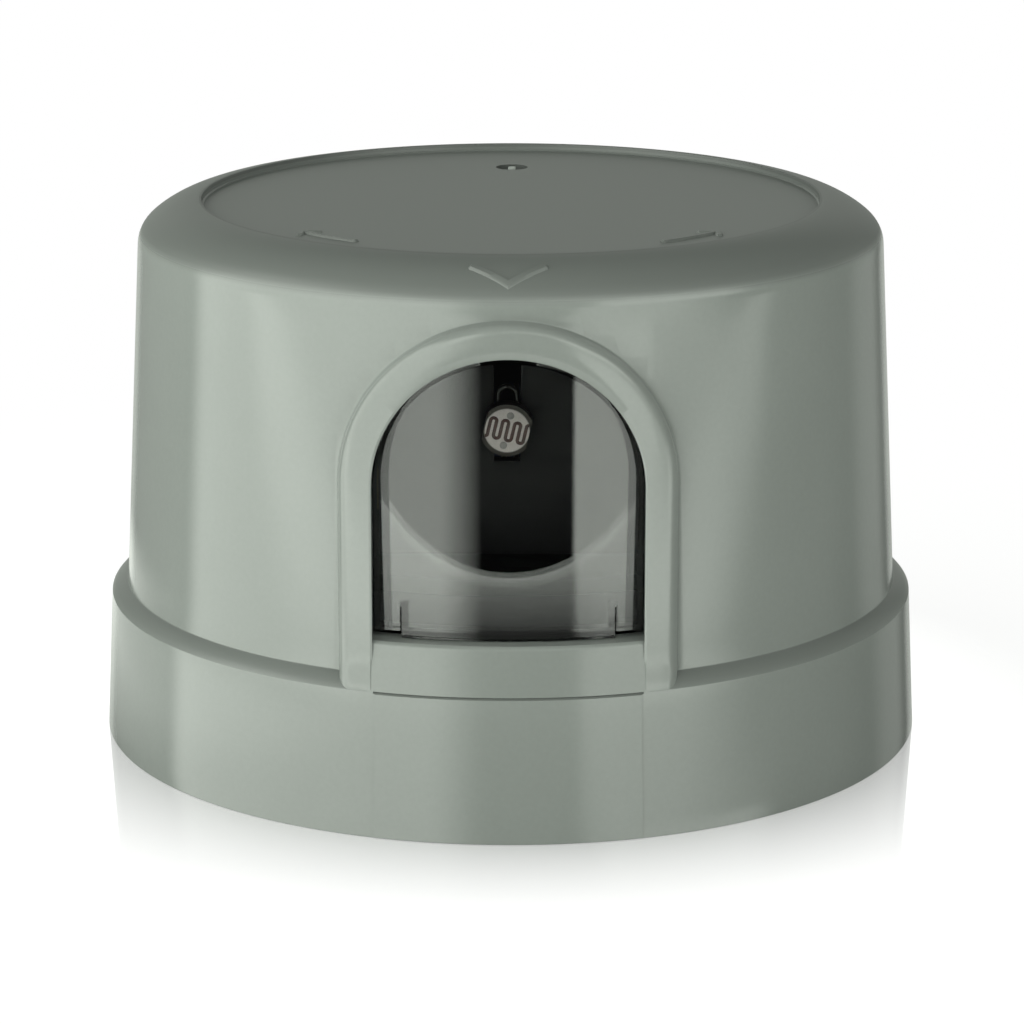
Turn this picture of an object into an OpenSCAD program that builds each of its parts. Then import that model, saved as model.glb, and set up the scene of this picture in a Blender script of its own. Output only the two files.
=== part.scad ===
// Plug-in photocell switch for a street light.
// A moulded cover with an arched, beaded window, a clear window insert, a snap-in base
// with three twist-lock blades, and the control circuit on a round board inside.
// Millimetres, +Z up, the window faces -Y and the rim of the skirt stands on Z = 0.

/* [Cover] */
// Diameter of the skirt at its rim
skirt_d = 84; // [82:0.5:94]
// Height of the ledge where the skirt ends and the body begins
ledge_z = 15.5; // [15:0.5:19]
// Height of the cover
cover_h = 54.7; // [53:0.1:62]
// Mould draft of the skirt and the body, in degrees
draft = 3; // [1:0.5:4]
// Width of the ledge
ledge_w = 1.6; // [1.5:0.1:2.2]
// Wall of the body
wall = 2; // [1.5:0.1:2.4]
// Wall of the skirt
skirt_wall = 2.2; // [1.8:0.1:2.4]
// Thickness of the top under its recess
top_t = 2; // [1.5:0.1:3]
// Thickness of the wall between the ledge and the seat of the base
seat_t = 2.3; // [1.8:0.1:3]
// Radius of the rim's outer edge
rim_edge_r = 0.8; // [0.3:0.1:1]
// Radius of the ledge's outer edge
ledge_edge_r = 0.8; // [0.3:0.1:0.8]
// Width of the sloping fillet between the ledge and the body
ledge_fillet_w = 0.5; // [0.2:0.1:0.6]
// Radius of the shoulder where it leaves the body
shoulder_side_r = 3.1; // [2:0.1:4]
// Radius of the shoulder where it reaches the top
shoulder_top_r = 9.3; // [7:0.1:11]
// Direction in which the two arcs of the shoulder meet, in degrees above level
shoulder_turn = 50; // [40:1:60]
// Radius of the corner inside the shoulder
inner_corner_r = 3.5; // [2:0.1:3.7]
// Width of the rounded rim round the top recess
top_rim_w = 6.5; // [6:0.1:9]
// Depth of the top recess
recess_depth = 0.75; // [0.3:0.05:0.9]
// Diameter of the gate dimple in the recess
gate_d = 3.4; // [2:0.1:4]
// Diameter of the nub in the gate dimple
gate_nub_d = 1.2; // [0.6:0.1:1.6]
// Depth of the gate dimple
gate_depth = 0.3; // [0.1:0.05:0.6]
// Distance of the gate dimple behind the centre
gate_y = 20.5; // [16:0.5:26]

/* [Window] */
// Width of the window opening
window_w = 25.6; // [22:0.2:28]
// Height of the window opening from the sill to the crown of the arch
window_h = 27.4; // [26:0.2:28]
// Height of the sill above the ledge
sill_h = 3.5; // [2.8:0.1:3.8]
// Width of the bead round the window
bead_w = 3.2; // [2:0.1:3.4]
// How far the bead stands proud of the body at the ledge
bead_proud = 1.3; // [1:0.1:1.6]
// Draft of the bead's front, in degrees
bead_draft = 1.7; // [1:0.1:2.5]
// How far the panel under the sill stands proud of the body
sill_proud = 0.9; // [0.4:0.1:1]
// How far the window pane lies behind the bead, at the ledge
pane_setback = 1.6; // [1.3:0.1:2.2]
// Thickness of the window pane
pane_t = 1.8; // [1.2:0.1:2]
// Width of the flange of the window insert behind the wall
insert_flange_w = 2.2; // [1.2:0.1:2.6]
// Thickness of the flange of the window insert
insert_flange_t = 1.4; // [1:0.1:1.6]
// Clearance round the window insert
insert_gap = 0.15; // [0.1:0.05:0.3]
// Width of the two slits in the foot of the pane
slit_w = 0.5; // [0.3:0.1:1]
// Height of the two slits
slit_h = 3; // [2:0.1:5]
// Distance of the slits from the sides of the opening
slit_inset = 2.7; // [2:0.1:5]
// Height by which the pane's corners stay off the sill
corner_gap = 0.6; // [0.3:0.1:1]

/* [Base] */
// Height of the underside of the base's floor above the rim
floor_z = 16.5; // [16:0.1:17.5]
// Thickness of the base's floor
floor_t = 2.5; // [2:0.1:3]
// Thickness of the base's outer rim
base_rim_t = 2; // [1.5:0.1:2.5]
// Wall round the base's recess
base_wall = 2; // [1.5:0.1:2.5]
// Room between the body's bore and the base's wall
base_room = 3; // [2.6:0.1:3.6]
// Clearance between the base and the skirt's bore
base_gap = 0.25; // [0.15:0.05:0.5]
// Number of snap lugs in the skirt
lug_count = 4; // [3:1:8]
// Length of arc of a snap lug
lug_len = 11; // [6:0.5:16]
// Depth of a snap lug
lug_depth = 0.7; // [0.5:0.05:1]
// Height of a snap lug
lug_h = 1.6; // [1:0.1:2.5]
// Height of the upright face of a snap lug
lug_face_h = 0.5; // [0.2:0.1:0.9]
// Play between a snap lug and the base's rim
lug_play = 0.1; // [0.05:0.05:0.3]
// Width of the sponge gasket
gasket_w = 5.5; // [3:0.1:7]
// Thickness of the sponge gasket
gasket_t = 3; // [2:0.1:3.5]
// Clearance between the gasket and the wall of the recess
gasket_gap = 0.8; // [0.3:0.1:1.5]

/* [Blades] */
// Diameter of the circle on which the blades stand
blade_circle_d = 33.3; // [32:0.1:35]
// Thickness of a blade
blade_t = 1.5; // [1:0.1:1.7]
// Width of the line and load blades
blade_w = 8; // [7:0.1:9]
// Width of the neutral blade
neutral_w = 10.4; // [9.4:0.1:12]
// Height of the blades' tips above the rim
blade_tip_z = 1; // [0.5:0.1:4]
// Reach of the hook on a blade
hook_w = 2.4; // [1.5:0.1:3]
// Height of the hook on a blade
hook_h = 4; // [3:0.1:6]
// Width by which a blade's collar stands out
collar_w = 0.9; // [0.5:0.1:1.5]
// Thickness of a blade's collar
collar_t = 1.2; // [0.8:0.1:2]
// Width of the tail that goes up through the floor and the board
tail_w = 5; // [4:0.1:6]
// Clearance round a tail
tail_gap = 0.15; // [0.1:0.05:0.3]

/* [Circuit board] */
// Thickness of the board
board_t = 1.6; // [1.2:0.1:2]
// Height of the posts that carry the board
post_h = 3; // [2.4:0.1:4]
// Diameter of the posts
post_d = 6; // [5:0.1:8]
// Distance of the posts from the centre
post_r = 27; // [25:0.5:28]
// Clearance between the board and the body's bore
board_gap = 4.2; // [3.8:0.1:5]
// Diameter of the component leads
lead_d = 0.7; // [0.5:0.05:0.8]
// Clearance round a lead
lead_gap = 0.1; // [0.05:0.05:0.2]
// Length by which leads and tails pass through the board
lead_tail = 1.5; // [1:0.1:1.8]

/* [Screws] */
// Diameter of the board screws over the core
screw_d = 2.5; // [2:0.1:3]
// Clearance of the screws in the posts
screw_pilot_gap = 0.05; // [0.05:0.05:0.2]
// Clearance of the screws in the board
screw_board_gap = 0.3; // [0.2:0.05:0.5]
// Floor left under the screw holes of the posts
screw_floor = 0.6; // [0.5:0.1:1]
// Length of the screws under the head
screw_len = 6; // [5:0.1:6.2]
// Diameter of the screw heads
screw_head_d = 5.6; // [5:0.1:6.5]
// Height of the screw heads
screw_head_h = 2; // [1.5:0.1:2.5]

/* [Photocell] */
// Diameter of the photocell
cell_d = 5.1; // [4.5:0.1:6]
// Distance between the flats of the photocell
cell_flats = 4.3; // [3.8:0.1:4.5]
// Thickness of the photocell
cell_t = 2; // [1.5:0.1:2.4]
// Height of the photocell's centre above the board
cell_lift = 12.8; // [11:0.1:14]
// Turn of the photocell in its holder, in degrees
cell_roll = 13; // [0:1:20]
// Distance between the leads of the photocell
cell_pitch = 3; // [2.4:0.1:3.2]
// Diameter of the photocell's leads
cell_lead_d = 0.5; // [0.4:0.05:0.6]
// Radius of the relief loop in the upper lead
cell_loop_r = 0.85; // [0.75:0.05:0.9]
// Height of the relief loop above the upper lead
cell_loop_rise = 1.4; // [0.8:0.1:2]
// Width of the holder's plate
holder_w = 29; // [26:0.5:32]
// Height of the holder
holder_h = 21.5; // [19:0.5:24]
// Thickness of the holder's plate
holder_t = 1.6; // [1.2:0.1:2]
// Distance of the holder's front from the centre
holder_y = 23.6; // [22:0.1:25]
// Width of the slot for the leads
slot_w = 2.5; // [2.3:0.1:3]
// Depth of the slot below the photocell's centre
slot_drop = 3.5; // [2.6:0.1:4]
// Length of the holder's foot
foot_len = 4; // [3:0.1:5]
// Thickness of the holder's foot and ribs
foot_t = 1.5; // [1:0.1:2]
// Height of the ribs behind the holder
rib_h = 12; // [8:0.5:16]
// Diameter of the holder's pegs
peg_d = 2; // [1.5:0.1:2.4]
// Distance of the pegs from the foot's edges
peg_edge = 0.4; // [0.3:0.1:0.8]

/* [Components] */
// Length, width and height of the relay
relay_size = [19, 15.5, 15.3]; // [15:0.1:19.5]
// Length, width and height of the film capacitor
film_size = [18, 8.5, 14.5]; // [8:0.1:18.5]
// Diameter of the electrolytic capacitor
electro_d = 10; // [8:0.5:11]
// Height of the electrolytic capacitor
electro_h = 16; // [12:0.5:20]
// Diameter of the varistor
varistor_d = 14; // [10:0.5:15]
// Thickness of the varistor
varistor_t = 4.2; // [3:0.1:4.6]
// Edge radius of the varistor
varistor_edge_r = 1.4; // [0.5:0.1:1.4]
// Diameter of the power resistor
power_d = 4.5; // [3.5:0.1:4.8]
// Length of the power resistor
power_len = 12; // [10:0.5:14]
// Diameter of the small resistors
resistor_d = 2.4; // [1.8:0.1:2.8]
// Length of the small resistors
resistor_len = 6.3; // [5:0.1:7.5]
// Diameter of the rectifier diodes
diode_d = 2.6; // [2:0.1:2.8]
// Length of the rectifier diodes
diode_len = 5; // [4:0.1:6]
// Diameter of the zener diode
zener_d = 1.9; // [1.5:0.1:2.2]
// Length of the zener diode
zener_len = 4; // [3:0.1:5]
// Diameter of the transistor
transistor_d = 4.8; // [4:0.1:5.2]
// Height of the transistor
transistor_h = 4.8; // [4:0.1:5.5]

/* [Hidden] */
$fn = 72;
overlap = 0.5;
post_count = 3;

// Places on the board, seen from above
relay_at = [0, 7];
film_at = [-20, 5];
electro_at = [18, 17.5];
varistor_at = [21, 2];
power_at = [0, 20.4];
transistor_at = [-12, 22];
resistor_row = 3.6;
resistors_at = [for (i = [0 : 2]) [-6, -4.6 - i * resistor_row]];
diode_row = 3.4;
diodes_at = [for (i = [0 : 3]) [6.5, -4.2 - i * diode_row]];
zener_at = [-6, -15.4];
cell_x = -0.2;
cell_foot_y = [-16.8, -15];

// Lead pitches and lifts above the board
axial_pitch = 10;
zener_pitch = 8;
power_pitch = 17;
electro_pitch = 5;
varistor_pitch = 7.5;
film_pitch = 15;
transistor_pitch = 2.54;
relay_pin_inset = 1.7;
relay_coil_inset = 4.8;
relay_corner_r = 0.8;
axial_lift = 0.3;
power_lift = 1.2;
varistor_lift = 2;
transistor_lift = 3;
electro_edge_r = 0.8;
electro_groove_r = 0.6;
electro_groove_z = 2.2;
resistor_cap_len = 1.6;
resistor_waist = 0.25;
transistor_flat = 1.3;

// Angles of the blades and the posts, in degrees from +X
neutral_angle = 90;
line_angle = 330;
load_angle = 210;
post_angle = 90;
lug_angle = 45;

// Sloping walls of the cover: radius at a height
slope = tan(draft);
bead_slope = tan(bead_draft);
ledge_r = skirt_d / 2 - ledge_z * slope;
function skirt_r(z) = skirt_d / 2 - z * slope;
function body_r(z) = ledge_r - ledge_w - (z - ledge_z) * slope;
function bead_r(z) = body_r(ledge_z) + bead_proud - (z - ledge_z) * bead_slope;
function bore_r(z) = body_r(z) - wall;
function skirt_bore_r(z) = skirt_r(z) - skirt_wall;
function polar(r, a) = [r * cos(a), r * sin(a)];
function degrees(length, r) = length / r * 180 / PI;

// Shoulder: a small arc from the body, then a large one to the top
top_arc_z = cover_h - shoulder_top_r;
side_arc_z = top_arc_z + (shoulder_top_r - shoulder_side_r) * sin(shoulder_turn);
side_arc = [body_r(side_arc_z) - shoulder_side_r / cos(draft), side_arc_z];
top_arc = side_arc - polar(shoulder_top_r - shoulder_side_r, shoulder_turn);
recess_r = body_r(side_arc_z) - top_rim_w;
lip_z = top_arc.y + sqrt(pow(shoulder_top_r, 2) - pow(recess_r - top_arc.x, 2));
recess_z = lip_z - recess_depth;
ceiling_z = recess_z - top_t;
inner_arc_z = ceiling_z - inner_corner_r;
inner_arc = [bore_r(inner_arc_z) - inner_corner_r / cos(draft), inner_arc_z];

// Window
sill_z = ledge_z + sill_h;
spring_z = sill_z + window_h - window_w / 2;
bead_half = window_w / 2 + bead_w;
bead_foot_z = ledge_z / 2;
bead_top_z = spring_z + bead_half + overlap;
front_y = skirt_d / 2 + overlap;
back_y = skirt_d / 4;
sill_r = body_r(ledge_z) + sill_proud;
pane_r = bead_r(ledge_z) - pane_setback;
pane_half = window_w / 2 - insert_gap;
pane_z = sill_z + insert_gap;
insert_half = window_w / 2 + insert_flange_w;
insert_z = sill_z - insert_flange_w;
insert_top_z = spring_z + insert_half;

// Base and board
seat_z = ledge_z - seat_t;
base_rim_z = seat_z - base_rim_t;
base_rim_r = skirt_bore_r(seat_z) - base_gap;
base_wall_r = bore_r(ledge_z) - base_room;
base_recess_r = base_wall_r - base_wall;
floor_top_z = floor_z + floor_t;
board_z = floor_top_z + post_h;
board_top_z = board_z + board_t;
board_r = bore_r(board_z) - board_gap;
gasket_r = base_recess_r - gasket_gap;
pilot_z = floor_z + screw_floor;
post_angles = [for (i = [0 : post_count - 1]) post_angle + i * 360 / post_count];
blade_r_in = blade_circle_d / 2 - blade_t / 2;
blade_r_out = blade_circle_d / 2 + blade_t / 2;
cell_z = board_top_z + cell_lift;
cell_back_y = -holder_y;
cell_shift = cell_pitch / 2 * sin(cell_roll);
cell_rise = cell_pitch / 2 * cos(cell_roll);
slot_z = cell_z - slot_drop;
pegs_x = holder_w / 2 - peg_d / 2 - peg_edge;
pegs_y = foot_len - holder_y - peg_d / 2 - peg_edge;

// Leads of each component, as places on the board
function along_x(c, pitch) = [for (s = [-0.5, 0.5]) c + [s * pitch, 0]];
function along_y(c, pitch) = [for (s = [-0.5, 0.5]) c + [0, s * pitch]];
relay_pin = [relay_size.x / 2 - relay_pin_inset, relay_size.y / 2 - relay_pin_inset];
relay_coil_x = relay_size.x / 2 - relay_coil_inset;
relay_leads = concat([relay_at - [relay_pin.x, 0]],
                     [for (x = [-relay_coil_x, relay_pin.x], s = [-1, 1]) relay_at + [x, s * relay_pin.y]]);
film_leads = along_y(film_at, film_pitch);
electro_leads = along_x(electro_at, electro_pitch);
varistor_leads = along_y(varistor_at, varistor_pitch);
power_leads = along_x(power_at, power_pitch);
transistor_leads = [for (i = [-1 : 1]) transistor_at + [i * transistor_pitch, 0]];
resistor_leads = [for (c = resistors_at, p = along_x(c, axial_pitch)) p];
diode_leads = [for (c = diodes_at, p = along_x(c, axial_pitch)) p];
zener_leads = along_x(zener_at, zener_pitch);
cell_leads = [[cell_x - cell_shift, cell_foot_y[0]], [cell_x + cell_loop_r, cell_foot_y[1]]];
board_leads = concat(relay_leads, film_leads, electro_leads, varistor_leads, power_leads,
                     transistor_leads, resistor_leads, diode_leads, zener_leads, cell_leads);

// Outline of the cover from the axis out, before its hollow is taken away
module cover_outline() {
    rim_x = skirt_r(rim_edge_r) - rim_edge_r / cos(draft);
    edge_z = ledge_z - ledge_edge_r;
    edge_x = skirt_r(edge_z) - ledge_edge_r / cos(draft);
    fillet_z = ledge_z + ledge_fillet_w;
    polygon([[0, 0], [rim_x, 0], [rim_x, rim_edge_r] + polar(rim_edge_r, draft),
             [edge_x, edge_z] + polar(ledge_edge_r, draft), [edge_x, ledge_z],
             [body_r(ledge_z) + ledge_fillet_w, ledge_z], [body_r(fillet_z), fillet_z],
             side_arc + polar(shoulder_side_r, draft), side_arc + polar(shoulder_side_r, shoulder_turn),
             [recess_r, lip_z], [0, lip_z]]);
    translate([rim_x, rim_edge_r])
        circle(rim_edge_r);
    translate([edge_x, edge_z])
        circle(ledge_edge_r);
    translate(side_arc)
        circle(shoulder_side_r);
    intersection() {
        translate(top_arc)
            circle(shoulder_top_r);
        polygon([top_arc, top_arc + polar(2 * shoulder_top_r, shoulder_turn), [recess_r, cover_h + overlap],
                 [recess_r, top_arc.y]]);
    }
}

// Hollow of the cover: the skirt's bore, the seat of the base and the body's bore
module cover_hollow() {
    polygon([[0, -overlap], [skirt_bore_r(-overlap), -overlap], [skirt_bore_r(seat_z), seat_z],
             [bore_r(seat_z), seat_z], inner_arc + polar(inner_corner_r, draft),
             [inner_arc.x, ceiling_z], [0, ceiling_z]]);
    translate(inner_arc)
        circle(inner_corner_r);
}

// Arch that stands on a level line: straight sides under a half circle
module arch(half_w, foot_z) {
    translate([-half_w, foot_z])
        square([2 * half_w, spring_z - foot_z]);
    intersection() {
        translate([0, spring_z])
            circle(half_w);
        translate([-half_w, foot_z])
            square([2 * half_w, spring_z + half_w - foot_z]);
    }
}

// A flat shape in X and Z, pushed through the front of the cover along Y
module through_front() {
    translate([0, -back_y, 0])
        rotate([90, 0, 0])
            linear_extrude(front_y - back_y)
                children();
}

// A flat shape in width and Z, pushed outwards at an angle and kept between two radii
module curved_plate(angle, r_in, r_out) {
    rotate([0, 0, angle - 180])
        intersection() {
            difference() {
                cylinder(r = r_out, h = cover_h);
                translate([0, 0, -overlap])
                    cylinder(r = r_in, h = cover_h + 2 * overlap);
            }
            rotate([90, 0, -90])
                linear_extrude(r_out + overlap)
                    children();
        }
}

module window_bead() {
    intersection() {
        rotate_extrude()
            polygon([[0, bead_foot_z], [bead_r(bead_foot_z), bead_foot_z],
                     [bead_r(bead_top_z), bead_top_z], [0, bead_top_z]]);
        through_front()
            arch(bead_half, bead_foot_z);
    }
}

module window_sill() {
    intersection() {
        translate([0, 0, bead_foot_z])
            cylinder(r = sill_r, h = sill_z - bead_foot_z);
        through_front()
            translate([-window_w / 2 - overlap, bead_foot_z])
                square([window_w + 2 * overlap, sill_z - bead_foot_z]);
    }
}

// Wedges inside the skirt that hold the base's rim against its seat
module snap_lugs() {
    lug_top_z = base_rim_z - lug_play;
    lug_r = skirt_bore_r(lug_top_z);
    span = degrees(lug_len, lug_r);
    for (i = [0 : lug_count - 1])
        rotate([0, 0, lug_angle + i * 360 / lug_count - span / 2])
            rotate_extrude(angle = span)
                polygon([[lug_r + skirt_wall / 2, lug_top_z], [lug_r - lug_depth, lug_top_z],
                         [lug_r - lug_depth, lug_top_z - lug_face_h], [lug_r, lug_top_z - lug_h],
                         [lug_r + skirt_wall / 2, lug_top_z - lug_h]]);
}

module cover() {
    color("#a9b2a6")
    union() {
        difference() {
            union() {
                rotate_extrude()
                    cover_outline();
                window_bead();
                window_sill();
            }
            rotate_extrude()
                cover_hollow();
            through_front()
                arch(window_w / 2, sill_z);
            translate([0, 0, recess_z])
                cylinder(r = recess_r, h = cover_h - recess_z + overlap);
            translate([0, gate_y, recess_z - gate_depth])
                difference() {
                    cylinder(d = gate_d, h = gate_depth + overlap);
                    cylinder(d = gate_nub_d, h = gate_depth);
                }
        }
        snap_lugs();
    }
}

// Clear insert: a pane that fills the opening, side walls, and a flange behind the body's wall
module window_lens() {
    flange_r_foot = bore_r(insert_z) - insert_gap;
    flange_r_top = bore_r(insert_top_z) - insert_gap;
    pane_mid_r = pane_r - pane_t / 2;
    slit_x = window_w / 2 - slit_inset;
    jamb_y = bore_r(sill_z) * cos(asin(pane_half / bore_r(sill_z)));
    color([0.86, 0.9, 0.9, 0.35])
    difference() {
        union() {
            intersection() {
                difference() {
                    cylinder(r = pane_r, h = cover_h);
                    cylinder(r = pane_r - pane_t, h = cover_h);
                }
                through_front()
                    arch(pane_half, pane_z);
            }
            intersection() {
                rotate_extrude()
                    polygon([[flange_r_foot - insert_flange_t, insert_z], [pane_mid_r, insert_z],
                             [pane_mid_r, insert_top_z], [flange_r_top - insert_flange_t, insert_top_z]]);
                through_front()
                    difference() {
                        arch(pane_half, pane_z);
                        arch(pane_half - pane_t, pane_z + pane_t);
                    }
            }
            intersection() {
                rotate_extrude()
                    polygon([[flange_r_foot - insert_flange_t, insert_z], [flange_r_foot, insert_z],
                             [flange_r_top, insert_top_z], [flange_r_top - insert_flange_t, insert_top_z]]);
                translate([0, 0, -insert_gap])
                    rotate_extrude()
                        cover_hollow();
                through_front()
                    difference() {
                        arch(insert_half, insert_z);
                        arch(pane_half - pane_t, pane_z + pane_t);
                    }
            }
        }
        for (side = [-1, 1]) {
            translate([side * slit_x - slit_w / 2, -front_y, pane_z - overlap])
                cube([slit_w, front_y - back_y, slit_h + overlap]);
            translate([side * (slit_x + slit_inset / 2) - slit_inset / 2, -front_y, pane_z - overlap])
                cube([slit_inset, front_y - jamb_y, corner_gap + overlap]);
        }
    }
}

module base_plate() {
    color("#2b2d2f")
    difference() {
        union() {
            rotate_extrude()
                polygon([[0, floor_z], [base_recess_r, floor_z], [base_recess_r, base_rim_z],
                         [base_rim_r, base_rim_z], [base_rim_r, seat_z], [base_wall_r, seat_z],
                         [base_wall_r, floor_top_z], [0, floor_top_z]]);
            for (a = post_angles)
                translate(polar(post_r, a))
                    translate([0, 0, floor_top_z - overlap])
                        cylinder(d = post_d, h = post_h + overlap);
        }
        for (a = post_angles)
            translate(polar(post_r, a))
                translate([0, 0, pilot_z])
                    cylinder(d = screw_d + 2 * screw_pilot_gap, h = board_top_z - pilot_z);
        for (a = [line_angle, load_angle, neutral_angle])
            tail_slot(a, floor_z - overlap, floor_t + 2 * overlap);
    }
}

// Slot for a blade's tail
module tail_slot(angle, z, height) {
    curved_plate(angle, blade_r_in - tail_gap, blade_r_out + tail_gap)
        translate([-tail_w / 2 - tail_gap, z])
            square([tail_w + 2 * tail_gap, height]);
}

module base_gasket() {
    color("#3a3b3d")
    translate([0, 0, floor_z - gasket_t])
        difference() {
            cylinder(r = gasket_r, h = gasket_t);
            translate([0, 0, -overlap])
                cylinder(r = gasket_r - gasket_w, h = gasket_t + 2 * overlap);
        }
}

// A curved blade with a hook at its tip, a collar under the floor and a tail for the board
module blade(angle, width) {
    half = width / 2;
    tail = tail_w / 2;
    hook_z = blade_tip_z + hook_h;
    neck_z = floor_z - collar_t / 2;
    top_z = board_top_z + lead_tail;
    color("#c8a85a")
    union() {
        curved_plate(angle, blade_r_in, blade_r_out)
            polygon([[-half, blade_tip_z], [half + hook_w, blade_tip_z], [half + hook_w, hook_z],
                     [half, hook_z], [half, neck_z], [tail, neck_z], [tail, top_z],
                     [-tail, top_z], [-tail, neck_z], [-half, neck_z]]);
        curved_plate(angle, blade_r_in - collar_w, blade_r_out + collar_w)
            translate([-half - collar_w, floor_z - collar_t])
                square([width + 2 * collar_w, collar_t]);
    }
}

module line_blade() {
    blade(line_angle, blade_w);
}

module load_blade() {
    blade(load_angle, blade_w);
}

module neutral_blade() {
    blade(neutral_angle, neutral_w);
}

module circuit_board() {
    color("#2f5a3a")
    difference() {
        translate([0, 0, board_z])
            cylinder(r = board_r, h = board_t);
        translate([0, 0, board_z - overlap]) {
            for (p = board_leads)
                translate(p)
                    cylinder(d = lead_d + 2 * lead_gap, h = board_t + 2 * overlap);
            for (a = post_angles)
                translate(polar(post_r, a))
                    cylinder(d = screw_d + 2 * screw_board_gap, h = board_t + 2 * overlap);
            for (side = [-1, 1])
                translate([side * pegs_x, pegs_y])
                    cylinder(d = peg_d + 2 * lead_gap, h = board_t + 2 * overlap);
        }
        for (a = [line_angle, load_angle, neutral_angle])
            tail_slot(a, board_z - overlap, board_t + 2 * overlap);
    }
}

module board_screws() {
    color("#c9ccce")
    for (a = post_angles)
        translate(polar(post_r, a)) {
            translate([0, 0, board_top_z - screw_len])
                cylinder(d = screw_d, h = screw_len + overlap);
            translate([0, 0, board_top_z])
                cylinder(d = screw_head_d, h = screw_head_h);
        }
}

// Upright plate with a slot that is open at the top, two ribs, a foot and two pegs
module photocell_holder() {
    color("#232527")
    difference() {
        union() {
            translate([-holder_w / 2, -holder_y, board_top_z])
                cube([holder_w, holder_t, holder_h]);
            translate([-holder_w / 2, -holder_y, board_top_z])
                cube([holder_w, foot_len, foot_t]);
            for (side = [-1, 1])
                translate([side * (holder_w - foot_t) / 2 - foot_t / 2, -holder_y, board_top_z])
                    rotate([90, 0, 90])
                        linear_extrude(foot_t)
                            polygon([[0, 0], [foot_len, 0], [foot_len, foot_t],
                                     [holder_t, rib_h], [0, rib_h]]);
            for (side = [-1, 1])
                translate([side * pegs_x, pegs_y, board_z])
                    cylinder(d = peg_d, h = board_t + foot_t);
        }
        translate([cell_x - slot_w / 2, -holder_y - overlap, slot_z])
            cube([slot_w, holder_t + 2 * overlap, holder_h]);
    }
}

// Lead of the photocell through a row of points, with a ball at each of them
module wire_run(points) {
    for (i = [1 : len(points) - 1]) {
        v = points[i] - points[i - 1];
        translate(points[i - 1])
            rotate([0, acos(v.z / norm(v)), atan2(v.y, v.x)])
                cylinder(d = cell_lead_d, h = norm(v));
    }
    for (p = points)
        translate(p)
            sphere(d = cell_lead_d);
}

// Upper lead of the photocell: it makes a small relief loop in the holder's slot, then goes
// back and down to the board
module photocell_upper_lead() {
    foot = cell_leads[1];
    start_x = cell_x + cell_shift;
    start_z = cell_z + cell_rise;
    loop_x = cell_x - cell_loop_r;
    loop_y = cell_back_y + holder_t / 2;
    loop_z = start_z + cell_loop_rise;
    back_z = start_z + cell_loop_rise / 2;
    wire_run([[start_x, cell_back_y - cell_t / 2, start_z], [start_x, loop_y, start_z],
              [loop_x, loop_y, start_z], [loop_x, loop_y, loop_z]]);
    translate([cell_x, loop_y, loop_z])
        rotate([90, 0, 0])
            rotate_extrude(angle = 180)
                translate([cell_loop_r, 0])
                    circle(d = cell_lead_d);
    wire_run([[foot.x, loop_y, loop_z], [foot.x, loop_y, back_z], [foot.x, foot.y, back_z],
              [foot.x, foot.y, board_z - lead_tail]]);
}

// Light-sensitive disc with two flats, and its lower lead, which goes straight back and down
module photocell_disc() {
    foot = cell_leads[0];
    start_z = cell_z - cell_rise;
    translate([cell_x, cell_back_y, cell_z])
        rotate([90, 0, 0])
            linear_extrude(cell_t)
                rotate(-cell_roll)
                    intersection() {
                        circle(d = cell_d);
                        square([cell_flats, cell_d], center = true);
                    }
    wire_run([[foot.x, cell_back_y - cell_t / 2, start_z], [foot.x, foot.y, start_z],
              [foot.x, foot.y, board_z - lead_tail]]);
}

module photocell() {
    color("#c8b9a8")
    union() {
        union()
            photocell_disc();
        union()
            photocell_upper_lead();
    }
}

// Straight leads from a height down through the board
module leads(places, top_z) {
    for (p = places)
        translate([p.x, p.y, board_z - lead_tail])
            cylinder(d = lead_d, h = top_z - board_z + lead_tail);
}

// Wire of a lying component: level along X, then down through the board at both ends
module axial_leads(c, pitch, z) {
    translate([c.x, c.y, z])
        rotate([0, 90, 0])
            cylinder(d = lead_d, h = pitch, center = true);
    for (p = along_x(c, pitch))
        translate([p.x, p.y, z])
            sphere(d = lead_d);
    leads(along_x(c, pitch), z);
}

// Lying round body along X
module axial_body(c, d, length, z) {
    translate([c.x, c.y, z])
        rotate([0, 90, 0])
            cylinder(d = d, h = length, center = true);
}

module rounded_plan(size, r) {
    for (shrink = [[r, 0], [0, r]])
        square([size.x - 2 * shrink.x, size.y - 2 * shrink.y], center = true);
    for (sx = [-1, 1], sy = [-1, 1])
        translate([sx * (size.x / 2 - r), sy * (size.y / 2 - r)])
            circle(r);
}

module relay() {
    color("#1f4f9c")
    union() {
        translate([relay_at.x, relay_at.y, board_top_z])
            linear_extrude(relay_size.z)
                rounded_plan(relay_size, relay_corner_r);
        leads(relay_leads, board_top_z + overlap);
    }
}

module film_capacitor() {
    color("#c9a227")
    union() {
        translate([film_at.x, film_at.y, board_top_z])
            linear_extrude(film_size.z)
                rounded_plan([film_size.y, film_size.x], relay_corner_r);
        leads(film_leads, board_top_z + overlap);
    }
}

module electrolytic_capacitor() {
    r = electro_d / 2;
    color("#20262e")
    union() {
        translate([electro_at.x, electro_at.y, board_top_z])
            rotate_extrude()
                difference() {
                    union() {
                        square([r, electro_h - electro_edge_r]);
                        square([r - electro_edge_r, electro_h]);
                        translate([r - electro_edge_r, electro_h - electro_edge_r])
                            circle(electro_edge_r);
                    }
                    translate([r + electro_groove_r / 2, electro_groove_z])
                        circle(electro_groove_r);
                }
        leads(electro_leads, board_top_z + overlap);
    }
}

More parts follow.
